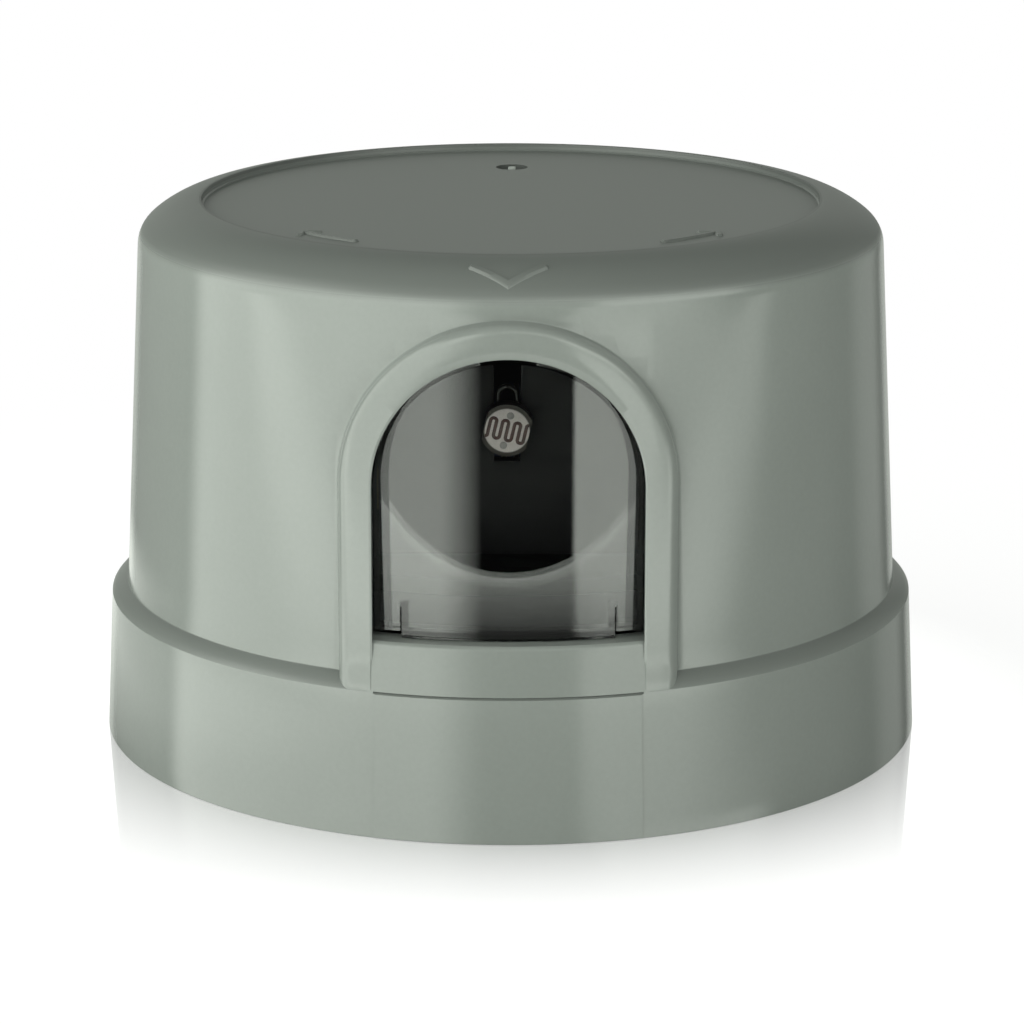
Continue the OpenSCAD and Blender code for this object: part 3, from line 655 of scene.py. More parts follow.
def sponge_finish():
    """Closed-cell sponge: a dark skin with open pores, darkened in their hollows by painted shade."""
    finish = Finish("sponge_rubber", (0.035, 0.035, 0.037), 0.85, specular=0.25)
    pores = finish.node("ShaderNodeTexVoronoi", {"Vector": finish.place, "Scale": 1.0 / 0.0006})
    depth = finish.remap(pores.outputs["Distance"], 0.0, 0.45)
    # Painted shade: each pore darkens towards its deep middle
    finish.paint(finish.shade(depth, 0.4, 1.5))
    finish.gloss(finish.remap(depth, 0.0, 1.0, 0.95, 0.75))
    finish.bump(depth, 5e-5)
    return finish.material


def brass_finish():
    """Stamped brass with fine drawing lines and a little tarnish."""
    finish = Finish("blade_brass", (0.72, 0.53, 0.24), 0.3, metallic=1.0)
    lines = finish.noise(0.0012, 4.0, (18.0, 18.0, 1.0))
    tarnish = finish.remap(finish.noise(0.004), 0.45, 0.75)
    finish.paint(finish.blend(tarnish, finish.shade(lines, 0.9, 1.06), (0.5, 0.34, 0.14, 1.0)))
    finish.gloss(finish.uneven(lines, 0.24, 0.4))
    finish.bump(finish.noise(0.0005), 4e-6)
    return finish.material


def board_finish():
    """Dark solder-resist over laminate, with wide tracks that show through."""
    finish = Finish("board_laminate", (0.0015, 0.003, 0.002), 0.5, specular=0.0)
    cells = finish.node("ShaderNodeTexVoronoi", {"Vector": finish.place, "Scale": 1.0 / 0.006},
                        feature="DISTANCE_TO_EDGE")
    tracks = finish.remap(cells.outputs["Distance"], 0.06, 0.075)
    finish.paint(finish.shade(tracks, 0.6, 1.4))
    finish.gloss(finish.remap(tracks, 0.0, 1.0, 0.6, 0.48))
    return finish.material


def bright_metal(name, colour, roughness, spot, shades, glosses):
    """Bright metal with spots of that size."""
    finish = Finish(name, colour, roughness, metallic=1.0)
    spots = finish.noise(spot)
    finish.paint(finish.shade(spots, *shades))
    finish.gloss(finish.uneven(spots, *glosses))
    return finish.material


def speckled(name, colour, roughness, low, high):
    """Coat with fine specks between a darker and a lighter shade."""
    finish = Finish(name, colour, roughness)
    finish.paint(finish.shade(finish.noise(0.0003), low, high))
    return finish.material


def cell_finish(settings):
    """Dark resin disc with silvery electrodes in front, and leads behind painted near black as painted shade.
    """
    finish = Finish("photocell_ceramic", settings.face_colour, 0.4)
    front, half_w, half_h = CELL_LOW.y, settings.face_w / 2, settings.face_h / 2
    spot = finish.node("ShaderNodeMapping", {
        "Vector": finish.place, "Location": (settings.centre_x, front, BOARD_HIGH.z + settings.lift),
        "Rotation": (0.0, settings.roll, 0.0), "Scale": (half_w, half_w, half_h)}, vector_type="TEXTURE")
    face = finish.remap(finish.span(spot.outputs["Vector"]), 1.02, 0.96)
    silver = finish.shade(finish.noise(0.0004), 0.8, 1.1)
    body = finish.blend(face, (0.03, 0.022, 0.018, 1.0), silver)
    # Painted shade: the leads behind the disc, which lie in the dark slot, get a near-black colour
    lead = finish.math("GREATER_THAN", finish.axis("Y"), front + settings.thickness + 0.02 * MM)
    finish.paint(finish.blend(lead, body, (0.015, 0.014, 0.013, 1.0)))
    finish.gloss(finish.remap(lead, 0.0, 1.0, 0.42, 0.3))
    return finish.material


def component_finish(name, colour, mask, bands):
    """Coated component with tinned leads. Bands are (low, high, colour) along X."""
    finish = Finish(name, colour, 0.4)
    body = finish.shade(finish.noise(0.0015), 0.88, 1.1)
    for low, high, tint in bands:
        body = finish.blend(finish.beyond("X", (low + high) / 2, (high - low) / 2), tone(tint), body)
    finish.tinned(mask(finish), body)
    finish.bump(finish.noise(0.0004), 8e-6)
    return finish.material


# Cover

class CoverShape:
    """Works out the walls of the cover from its settings, as radius at a height."""

    def __init__(self, cover, lens):
        self.cover = cover
        self.slope = math.tan(cover.draft)
        self.bead_slope = math.tan(cover.bead_draft)
        self.foot_r = cover.skirt_d / 2 - cover.ledge_z * self.slope - cover.ledge_w
        self.window_half = LENS_HIGH.x - lens.flange_w
        self.spring_z = LENS_HIGH.z - LENS_HIGH.x
        self.sill_z = LENS_LOW.z + lens.flange_w
        self.seat_z = cover.ledge_z - cover.seat_t
        self.edge_z = cover.ledge_z - cover.ledge_drop
        rise = cover.top_r - cover.side_r
        turned = Vector((math.cos(cover.shoulder_turn), math.sin(cover.shoulder_turn)))
        side_z = cover.height - cover.top_r + rise * turned.y
        self.side_arc = Vector((self.body_r(side_z) - cover.side_r / math.cos(cover.draft), side_z))
        self.top_arc = self.side_arc - turned * rise
        self.recess_r = self.body_r(side_z) - cover.top_rim_w
        self.lip_z = self.top_z(self.recess_r + TINY)
        self.recess_z = self.lip_z - cover.recess_depth
        self.ceiling_z = self.recess_z - cover.top_t

    def skirt_r(self, z):
        return self.cover.skirt_d / 2 - z * self.slope

    def skirt_bore_r(self, z):
        return self.skirt_r(z) - self.cover.skirt_wall

    def body_r(self, z):
        return self.foot_r - (z - self.cover.ledge_z) * self.slope

    def bore_r(self, z):
        return self.body_r(z) - self.cover.wall

    def bead_r(self, z):
        return self.foot_r + self.cover.bead_proud - (z - self.cover.ledge_z) * self.bead_slope

    def crown_r(self, z):
        """Face of the bead, which runs out into the skirt under the ledge."""
        above = z - self.edge_z
        if above < 0:
            sink = 0.08
            return self.skirt_r(z) + sink * above
        share = min(1.0, above / self.cover.bead_blend_h)
        share = share * share * (3 - 2 * share)
        return self.skirt_r(z) * (1 - share) + self.bead_r(z) * share

    def top_z(self, r):
        """Height of the top at a radius: the recess, the large arc or the small one."""
        if r <= self.recess_r:
            return self.recess_z
        large = r < self.top_arc.x + self.cover.top_r * math.cos(self.cover.shoulder_turn)
        centre = self.top_arc if large else self.side_arc
        radius = self.cover.top_r if large else self.cover.side_r
        return centre.y + math.sqrt(max(0.0, radius ** 2 - (r - centre.x) ** 2))

    def outline(self):
        """Section of the shell, from the axis under the top, round the rim, to the axis above."""
        cover = self.cover
        quarter = math.pi / 2
        draft = cover.draft
        corner_z = self.ceiling_z - cover.inner_corner_r
        corner = (self.bore_r(corner_z) - cover.inner_corner_r / math.cos(draft), corner_z)
        rim = (self.skirt_r(0.0), 0.0)
        ledge = (self.skirt_r(self.edge_z), self.edge_z)
        crease = (self.foot_r, cover.ledge_z)
        soft = 0.15 * MM
        bore_edge = 0.3 * MM
        lip_turn = math.acos((self.recess_r + soft - self.top_arc.x) / cover.top_r)

        inside = [(0.0, self.ceiling_z)]
        inside += arc(corner, cover.inner_corner_r, quarter, draft, 8)
        inside += stretch(inside[-1], (self.bore_r(self.seat_z), self.seat_z), 10)
        inside += [(self.bore_r(self.seat_z), self.seat_z), (self.skirt_bore_r(self.seat_z), self.seat_z)]
        inside += stretch(inside[-1], (self.skirt_bore_r(bore_edge), bore_edge), 5)
        inside += [(self.skirt_bore_r(bore_edge), bore_edge), (self.skirt_bore_r(0.0) + bore_edge, 0.0)]

        shoulder = arc(self.side_arc, cover.side_r, draft, cover.shoulder_turn, 8)
        outside = rounded(inside[-1], rim, ledge, cover.edge_r)
        swell = bowed(ledge, crease, cover.ledge_bow, 12)
        skirt_top = rounded(rim, ledge, swell[0], cover.ledge_edge_r)
        outside += stretch(outside[-1], skirt_top[0], 8) + skirt_top + swell[1:-1]
        outside += rounded(swell[-1], crease, shoulder[0], cover.ledge_edge_r)
        outside += stretch(outside[-1], shoulder[0], 16) + shoulder
        outside += arc(self.top_arc, cover.top_r, cover.shoulder_turn, lip_turn, 14)[1:]
        outside += [(self.recess_r + 0.3 * soft, self.lip_z - 0.3 * soft), (self.recess_r, self.lip_z - soft),
                    (self.recess_r - 0.3 * soft, self.recess_z + soft),
                    (self.recess_r - 1.3 * soft, self.recess_z)]
        outside += stretch(outside[-1], (0.0, self.recess_z), 6) + [(0.0, self.recess_z)]
        return inside + outside

    def arch(self, half, foot_z, steps=96):
        """Outline of an arch on a level foot, as (x, z) points."""
        return [(-half, foot_z), (half, foot_z)] + arc((0.0, self.spring_z), half, 0.0, math.pi, steps)

    def arch_path(self, foot_z, leg_steps=26, bow_steps=120):
        """Points along the window's edge, each with its outward direction."""
        half = self.window_half
        left = [(-half, z, -1.0, 0.0) for z in
                (foot_z + (self.spring_z - foot_z) * i / leg_steps for i in range(leg_steps))]
        bow = []
        for i in range(bow_steps + 1):
            a = math.pi * (1 - i / bow_steps)
            out = (math.cos(a), math.sin(a))
            bow.append((half * out[0], self.spring_z + half * out[1], *out))
        right = [(-x, z, 1.0, 0.0) for x, z, _, _ in reversed(left)]
        return left + bow + right


def on_wall(x, r, z):
    """The point at that radius on the front of the cover, straight behind x and z."""
    return (x, -math.sqrt(max(0.0, r * r - x * x)), z)


def window_bead(shape):
    """Bead with a level crown and a round outer edge that follows the drafted wall round the window."""
    cover = shape.cover
    edge = cover.bead_edge_r
    inner_edge = 0.2 * MM
    flare = 0.22 * MM
    root = -0.4 * MM
    lap = 0.02 * MM
    foot_z = 0.65 * cover.ledge_z
    # Across the bead from the opening: (across, 1 on the crown or 0 on the wall, offset)
    section = [(-lap, 0, root), (-lap, 1, -0.6 * inner_edge), (inner_edge, 1, 0.0),
               (0.5 * cover.bead_w, 1, 0.0)]
    for step in range(9):
        a = math.radians(10 * step)
        section.append((cover.bead_w - edge * (1 - math.sin(a)), 1, -edge * (1 - math.cos(a))))
    section += [(cover.bead_w, 0, flare), (cover.bead_w + 0.3 * flare, 0, 0.3 * flare),
                (cover.bead_w + flare, 0, -0.1 * flare), (cover.bead_w + flare, 0, root)]
    loops = []
    for x, z, out_x, out_z in shape.arch_path(foot_z):
        loop = []
        for across, crown, offset in section:
            px, pz = x + out_x * across, z + out_z * across
            wall_r = shape.body_r(pz)
            r = shape.crown_r(pz) + offset if crown else wall_r + offset
            loop.append(on_wall(px, max(r, wall_r + root), pz))
        loops.append(loop)
    return sweep_loops("window_bead", loops)


def front_band(name, outline, half, columns):
    """A part turn of an outline, centred on the front, that reaches so far to each side."""
    reach = math.asin(half / max(r for r, _ in outline))
    return revolve(name, outline, columns, FRONT - reach, 2 * reach)


def window_sill(shape):
    """Panel under the window, from a rounded upper edge down to the face of the skirt."""
    cover = shape.cover
    face_r = shape.foot_r + cover.sill_proud
    back_r = shape.foot_r - cover.wall / 2
    soft = 0.5 * MM
    foot_z = cover.ledge_z - cover.sill_drop
    outline = [(back_r, foot_z), (shape.skirt_r(foot_z), foot_z), (face_r, shape.sill_z - soft)]
    outline += arc((face_r - soft, shape.sill_z - soft), soft, 0.0, math.radians(70), 5)[1:]
    outline += [(face_r - 1.5 * soft, shape.sill_z + soft), (back_r, shape.sill_z + soft)]
    return front_band("window_sill", outline, shape.window_half + 0.5 * MM, 64)


def sill_groove(shape):
    """Cut that parts the sill panel from the skirt."""
    cover = shape.cover
    width = cover.sill_groove
    middle = cover.ledge_z - cover.sill_drop
    mouth = shape.skirt_r(middle) + width
    outline = [(mouth - 2 * width, middle), (mouth, middle - width), (mouth, middle + width)]
    return front_band("sill_groove", outline, shape.window_half, 64)


def parting_panel(shape):
    """Faint step on the skirt where the mould's slide closed, between the window's lines."""
    cover = shape.cover
    low, high = cover.edge_r, cover.ledge_z - cover.sill_drop
    face = [(shape.skirt_r(z) + cover.panel_proud, z) for z in (low, high)]
    back = [(shape.skirt_r(z) - cover.skirt_wall / 2, z) for z in (high, low)]
    return front_band("parting_panel", face + back, shape.window_half, 64)


def snap_lug(shape, angle):
    """Wedge inside the skirt that holds the rim of the base."""
    top_z = BASE_LOW.z - 0.1 * MM
    wall_r = shape.skirt_bore_r(top_z)
    depth, face_h, lug_h, lug_len = 0.7 * MM, 0.5 * MM, 1.6 * MM, 11 * MM
    span = lug_len / wall_r
    root_r = wall_r + shape.cover.skirt_wall / 2
    outline = [(root_r, top_z), (wall_r - depth, top_z), (wall_r - depth, top_z - face_h),
               (wall_r, top_z - lug_h), (root_r, top_z - lug_h)]
    return revolve("snap_lug", outline, 24, angle - span / 2, span)


def raised_line(shape, name, path):
    """A low rounded line that follows the top along a path of (x, y) points.

    Its corners are mitred, and its ends run out under the surface.
    """
    cover = shape.cover
    width, height = cover.mark_w / 2, cover.mark_h
    section = [(-1.25 * width, -0.6 * height), (-width, 0.25 * height), (-0.6 * width, height),
               (0.6 * width, height), (width, 0.25 * height), (1.25 * width, -0.6 * height)]
    narrow, share_left, drop = 0.6, 0.2, 0.7 * height
    points = [Vector(p) for p in path]
    loops = []

    def loop_at(point, across, share=1.0, lowered=0.0):
        """Section at one point, its heights scaled by a share and then lowered."""
        places = [(point + across * side, rise * share - lowered) for side, rise in section]
        return [(at.x, at.y, shape.top_z(at.length) + rise) for at, rise in places]

    for i, point in enumerate(points):
        before = (point - points[i - 1]).normalized() if i else None
        after = (points[i + 1] - point).normalized() if i + 1 < len(points) else None
        along = ((before or after) + (after or before)).normalized()
        across = Vector((-along.y, along.x))
        mitre = 1.0 / max(0.3, along.dot(after or before))
        if before is None:
            loops.append(loop_at(point - along * width, across * narrow, share_left, drop))
        loops.append(loop_at(point, across * mitre))
        if after is None:
            loops.append(loop_at(point + along * width, across * narrow, share_left, drop))
    return sweep_loops(name, loops)


def top_marks(shape):
    """Plain arrow that points to the window, and two turning arrows in the front of the recess."""
    wing, back_r, tip_r, leg = 3.45 * MM, 34.2 * MM, 36.4 * MM, 8
    left, tip, right = (-wing, -back_r), (0.0, -tip_r), (wing, -back_r)
    chevron = [left, *stretch(left, tip, leg), tip, *stretch(tip, right, leg), right]
    marks = [raised_line(shape, "chevron", chevron)]
    line_r, barb = shape.recess_r - 5.0 * MM, 1.3 * MM
    near, far, head = math.radians(34), math.radians(50), math.radians(2.6)

    def at(radius, angle):
        return (radius * math.cos(angle), radius * math.sin(angle))

    for side in (-1, 1):
        shaft = arc((0.0, 0.0), line_r, FRONT + side * near, FRONT + side * (far - head / 3), 24)
        root = FRONT + side * (far - head)
        hook = [at(line_r - barb, root), at(line_r, FRONT + side * far), at(line_r + barb, root)]
        marks.append(raised_line(shape, "turning_line", shaft))
        marks.append(raised_line(shape, "turning_head", hook))
    return marks


def gate_cut(shape):
    """Ring-shaped cut of the moulding gate, which leaves a stub in the middle."""
    cover = shape.cover
    low, high = shape.recess_z - cover.gate_depth, shape.recess_z + cover.gate_depth
    outer, inner = cover.gate_d / 2, cover.gate_nub_d / 2
    outline = [(inner, low), (outer * 0.9, low), (outer, low + cover.gate_depth * 0.4), (outer, high),
               (inner, high)]
    tool = revolve("gate_cut", outline, 40)
    tool.data.transform(Matrix.Translation((0.0, cover.gate_y, 0.0)))
    return tool


class SWITCH_OT_cover(bpy.types.Operator):
    """Make the moulded cover with its window bead, sill and raised marks"""

    bl_idname = "photocell_switch.cover"
    bl_label = "Cover"

    def execute(self, context):
        cover = context.scene.switch_cover
        shape = CoverShape(cover, context.scene.switch_lens)
        reach = cover.skirt_d
        piece = revolve("cover_moulding", shape.outline(), cover.columns)
        combine(piece, "UNION", window_bead(shape), window_sill(shape), parting_panel(shape))
        opening = prism("opening", shape.arch(shape.window_half, shape.sill_z), -reach, -reach / 4)
        combine(piece, "DIFFERENCE", opening, sill_groove(shape), gate_cut(shape))
        lugs = [snap_lug(shape, math.radians(45 + 90 * i)) for i in range(4)]
        combine(piece, "UNION", *lugs, *top_marks(shape))
        smooth(piece, 32)
        mount(piece, "cover_plastic", cover_finish(shape), "cover")
        return {"FINISHED"}


# Clear insert

class SWITCH_OT_lens(bpy.types.Operator):
    """Make the clear insert: pane, side walls, flange and the two slits at its foot"""

    bl_idname = "photocell_switch.window_lens"
    bl_label = "Window lens"

    def execute(self, context):
        lens = context.scene.switch_lens
        shape = CoverShape(context.scene.switch_cover, lens)
        pane_r = -LENS_LOW.y - lens.setback
        pane_half = shape.window_half - lens.gap
        pane_z = shape.sill_z + lens.gap
        inner_half, inner_z = pane_half - lens.side_t, pane_z + lens.side_t
        low, high = LENS_LOW.z, LENS_HIGH.z
        margin = 1 * MM
        reach = shape.cover.skirt_d

        def window(name, half, foot_z):
            return prism(name, shape.arch(half, foot_z, 192), -reach, -reach / 4)

        def band(name, outline, half, foot_z, hollow=True):
            """Curved band, trimmed to an arch and, where it is hollow, opened by the inner arch."""
            made = front_band(name, outline, LENS_HIGH.x + 2 * margin, 200)
            combine(made, "INTERSECT", window(f"{name}_outline", half, foot_z))
            if hollow:
                combine(made, "DIFFERENCE", window(f"{name}_inside", inner_half, inner_z))
            return made

        flange_low, flange_high = (shape.bore_r(z) - lens.gap for z in (low, high))
        back_low, back_high = flange_low - lens.flange_t, flange_high - lens.flange_t
        middle = pane_r - lens.pane_t / 2
        pane = band("pane", oblong(pane_r - lens.pane_t, low - margin, pane_r, high + margin),
                    pane_half, pane_z, hollow=False)
        sides = band("sides", [(back_low, low), (middle, low), (middle, high), (back_high, high)],
                     pane_half, pane_z)
        flange = band("flange", [(back_low, low), (flange_low, low), (flange_high, high), (back_high, high)],
                      LENS_HIGH.x, low)
        combine(pane, "UNION", sides, flange)

        bore_r = shape.bore_r(shape.sill_z)
        jamb_y = -bore_r * math.cos(math.asin(pane_half / bore_r))
        slit_x, half_slit = shape.window_half - lens.slit_inset, lens.slit_w / 2
        foot_z = pane_z - margin
        for side in (-1, 1):
            at = side * slit_x
            slit = oblong(at - half_slit, foot_z, at + half_slit, pane_z + lens.slit_h)
            gap = oblong(at, foot_z, side * (slit_x + lens.slit_inset), pane_z + lens.corner_gap)
            combine(pane, "DIFFERENCE", prism("slit", slit, -reach, -reach / 4),
                    prism("corner", gap, -reach, jamb_y))
        pane.name = "window_insert"
        smooth(pane, 30)
        mount(pane, "clear_plastic", lens_finish(lens), "window_lens")
        return {"FINISHED"}


# Light sensor and its holder

class SWITCH_OT_photocell(bpy.types.Operator):
    """Finish the light sensor and lay the track on its face"""

    bl_idname = "photocell_switch.photocell"
    bl_label = "Photocell"

    def execute(self, context):
        cell = context.scene.switch_cell
        mount(smooth_copy("photocell", 35), "photocell_ceramic", cell_finish(cell), "photocell")
        centre = Vector((cell.centre_x, CELL_LOW.y + cell.track_r * 0.7, BOARD_HIGH.z + cell.lift))
        half = cell.stroke_pitch * (cell.strokes - 1) / 2
        end_x = cell.across_flats / 2 - 0.2 * MM
        flat = [(-end_x, -cell.stroke_h / 2)]
        for i in range(cell.strokes):
            x = -half + i * cell.stroke_pitch
            ends = (-0.5, 0.5) if i % 2 == 0 else (0.5, -0.5)
            flat += [(x, end * cell.stroke_h) for end in ends]
        flat.append((end_x, flat[-1][1]))
        roll = Matrix.Rotation(cell.roll, 4, "Y")
        points = [centre + roll @ Vector((x, 0.0, z)) for x, z in flat]
        edges = [(i, i + 1) for i in range(len(points) - 1)]
        finish = speckled("photocell_track", cell.track_colour, roughness=0.3, low=0.7, high=1.3)
        track = grow("photocell_track", path_tree(), points, edges, Radius=cell.track_r,
                     Corner=cell.stroke_pitch * 0.48, Finish=finish)
        mount(track, "photocell_ceramic", finish)
        for side, label in ((-1, "lower"), (1, "upper")):
            self.lead_spot(centre + roll @ Vector((0.0, 0.0, side * cell.lead_pitch / 2)), label)
        black = dark_plastic("holder_plastic", (0.003, 0.0032, 0.0033), rough_low=0.55, rough_high=0.65,
                             depth=6e-6)
        mount(smooth_copy("photocell_holder", 30, 0.15 * MM), "holder_plastic", black, "photocell_holder")
        return {"FINISHED"}

    def lead_spot(self, spot, label):
        """Solder spot where a lead comes through the face."""
        low, rim_r = -0.1 * MM, 0.36 * MM
        outline = [(0.0, low), (rim_r, low), (rim_r, 0.02 * MM), (0.2 * MM, 0.12 * MM), (0.0, 0.14 * MM)]
        dome = revolve(f"photocell_{label}_spot", outline, 24)
        dome.data.transform(Matrix.Rotation(math.pi / 2, 4, "X"))
        dome.data.transform(Matrix.Translation((spot.x, CELL_LOW.y, spot.z)))
        smooth(dome, 40)
        finish = speckled("photocell_spot", (0.3, 0.28, 0.28), roughness=0.5, low=0.8, high=1.15)
        mount(dome, "photocell_ceramic", finish)


# Base, gasket and blades

class SWITCH_OT_base(bpy.types.Operator):
    """Finish the base, its gasket and the three blades"""

    bl_idname = "photocell_switch.base"
    bl_label = "Base and blades"

    def execute(self, context):
        black = dark_plastic("base_plastic", (0.02, 0.021, 0.0225), rough_low=0.45, rough_high=0.6,
                             depth=1e-5)
        brass = brass_finish()
        looks = [("base_plate", 0.2, "base_plastic", black),
                 ("base_gasket", 0.3, "sponge_rubber", sponge_finish())]
        looks += [(f"{blade}_blade", 0.18, "blade_brass", brass) for blade in ("line", "load", "neutral")]
        for node, edge, slot, finish in looks:
            mount(smooth_copy(node, 32, edge * MM), slot, finish, node)
        return {"FINISHED"}


# Board and what it carries

def screw_pattern(head_r, head_h, core_r, length_under):
    """One pan-head screw with a cross recess, its head's seat at the origin."""
    soft, pitch, root_r = head_h * 0.45, 0.5 * MM, core_r * 0.8
    arm_w, arm_len, cross_z = head_r * 0.16, head_r * 0.55, head_h * 0.4
    outline = [(0.0, -length_under), (core_r * 0.6, -length_under), (core_r, -length_under + core_r * 0.5)]
    for i in range(int(length_under / pitch) - 2):
        z = -length_under + core_r + i * pitch
        outline += [(core_r, z), (root_r, z + pitch / 2)]
    outline += [(core_r, 0.0), (head_r, 0.0), (head_r, head_h - soft)]
    outline += arc((head_r - soft, head_h - soft), soft, 0.0, math.pi / 2, 5)[1:]
    outline.append((0.0, head_h))
    screw = revolve("screw_pattern", outline, 32)
    for across, along in ((arm_w, arm_len), (arm_len, arm_w)):
        arm = prism("cross_arm", oblong(-across, cross_z, across, 2 * head_h), -along, along)
        combine(screw, "DIFFERENCE", arm)
    return smooth(screw, 35)


def lead_ends(nodes, level):
    """Places where the leads of these CAD nodes come out under a level, one for each lead."""
    found = []
    for node in nodes:
        for vertex in NODES[node].data.vertices:
            if vertex.co.z < level:
                at = vertex.co.to_2d()
                near = [f for f in found if (f[0] - at).length < 1.2 * MM]
                if near:
                    near[0][1].append(at)
                else:
                    found.append((at.copy(), [at.copy()]))
    return [sum(group, Vector((0.0, 0.0))) / len(group) for _, group in found]


COMPONENTS = ("relay", "film_capacitor", "electrolytic_capacitor", "varistor", "power_resistor",
              "small_resistors", "rectifier_diodes", "zener_diode", "transistor")


class SWITCH_OT_board(bpy.types.Operator):
    """Finish the circuit board, its solder joints and its screws"""

    bl_idname = "photocell_switch.board"
    bl_label = "Board and screws"

    def execute(self, context):
        mount(smooth_copy("circuit_board", 30), "board_laminate", board_finish(), "circuit_board")
        under = BOARD_LOW.z
        cone = [(r * MM, z * MM) for r, z in ((0.0, 0.05), (1.05, 0.05), (1.0, -0.05), (0.6, -0.3),
                                              (0.45, -0.8), (0.0, -0.95))]
        joint = smooth(revolve("joint_pattern", cone, 16), 50)
        spots = [(p.x, p.y, under) for p in lead_ends((*COMPONENTS, "photocell"), under - 0.2 * MM)]
        solder = bright_metal("solder", (0.74, 0.73, 0.72), roughness=0.2, spot=0.0005,
                              shades=(0.9, 1.05), glosses=(0.14, 0.3))
        self.copies("solder_joints", joint, spots, 0.0, solder)

        head_d, head_h, core_d = 5.6 * MM, SCREWS_HIGH.z - BOARD_HIGH.z, 2.5 * MM
        ring_r = SCREWS_HIGH.y - head_d / 2
        turns = [math.radians(90 + 120 * i) for i in range(3)]
        places = [(ring_r * math.cos(a), ring_r * math.sin(a), BOARD_HIGH.z) for a in turns]
        screw = screw_pattern(head_d / 2, head_h, core_d / 2, BOARD_HIGH.z - SCREWS_LOW.z)
        steel = bright_metal("screw_steel", (0.62, 0.63, 0.64), roughness=0.3, spot=0.0008,
                             shades=(0.85, 1.1), glosses=(0.22, 0.38))
        self.copies("cross_screws", screw, places, 0.7, steel, "board_screws")
        return {"FINISHED"}

    def copies(self, name, pattern, places, step, finish, *nodes):
        """Puts a copy of a pattern, which is used up, at every place."""
        piece = grow(name, scatter_tree(), places, [], Pattern=pattern, Turn=step, Finish=finish)
        mount(piece, "screw_steel", finish, *nodes)
        bpy.data.objects.remove(pattern)


class SWITCH_OT_components(bpy.types.Operator):
    """Finish the relay, capacitors, resistors, diodes and the transistor"""

    bl_idname = "photocell_switch.components"
    bl_label = "Board parts"

    def execute(self, context):
        brown, black, red = (0.12, 0.04, 0.015), (0.01, 0.01, 0.01), (0.4, 0.02, 0.015)
        gold, pale = (0.5, 0.33, 0.08), (0.6, 0.6, 0.58)

        def standing(rise=0.02):
            """Leads that are bare up to that many millimetres over the board."""
            return lambda finish, x: finish.below("Z", BOARD_HIGH.z + rise * MM)

        def lying(body_len):
            """Leads that are bare beyond a body of that many millimetres."""
            return lambda finish, x: finish.beyond("X", x, body_len * MM / 2)

        # Slot, colour, where the leads are bare, and bands in millimetres from the middle
        looks = {
            # The relay's case is painted darker than its own blue, as painted shade where it shows in the
            # dark slot behind the sensor
            "relay": ("relay_case", (0.006, 0.02, 0.065), standing(), ()),
            "film_capacitor": ("film_case", (0.55, 0.36, 0.04), standing(), ()),
            "electrolytic_capacitor": ("electrolytic_sleeve", (0.015, 0.018, 0.025), standing(),
                                       ((4.2, 5.2, pale),)),
            "varistor": ("varistor_coat", (0.03, 0.1, 0.34), standing(1.5), ()),
            "power_resistor": ("power_resistor_coat", (0.28, 0.33, 0.26), lying(12),
                               ((-4.2, -3.2, brown), (-2.6, -1.6, black), (-1.0, 0.0, red),
                                (3.2, 4.2, gold))),
            "small_resistors": ("resistor_coat", (0.6, 0.42, 0.23), lying(6.3),
                                ((-2.6, -2.0, brown), (-1.3, -0.8, black), (-0.3, 0.2, red),
                                 (1.9, 2.5, gold))),
            "rectifier_diodes": ("diode_case", (0.015, 0.015, 0.016), lying(5), ((1.3, 2.0, pale),)),
            "zener_diode": ("zener_glass", (0.5, 0.13, 0.04), lying(4), ((1.1, 1.6, black),)),
            "transistor": ("transistor_case", (0.015, 0.015, 0.016), standing(3), ()),
        }
        for node in COMPONENTS:
            slot, colour, bare, bands = looks[node]
            x = sum(corner.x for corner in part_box(node)) / 2
            bands = [(x + low * MM, x + high * MM, tint) for low, high, tint in bands]
            finish = component_finish(slot, colour, lambda made: bare(made, x), bands)
            mount(smooth_copy(node, 35), slot, finish, node)
        return {"FINISHED"}


# Stage

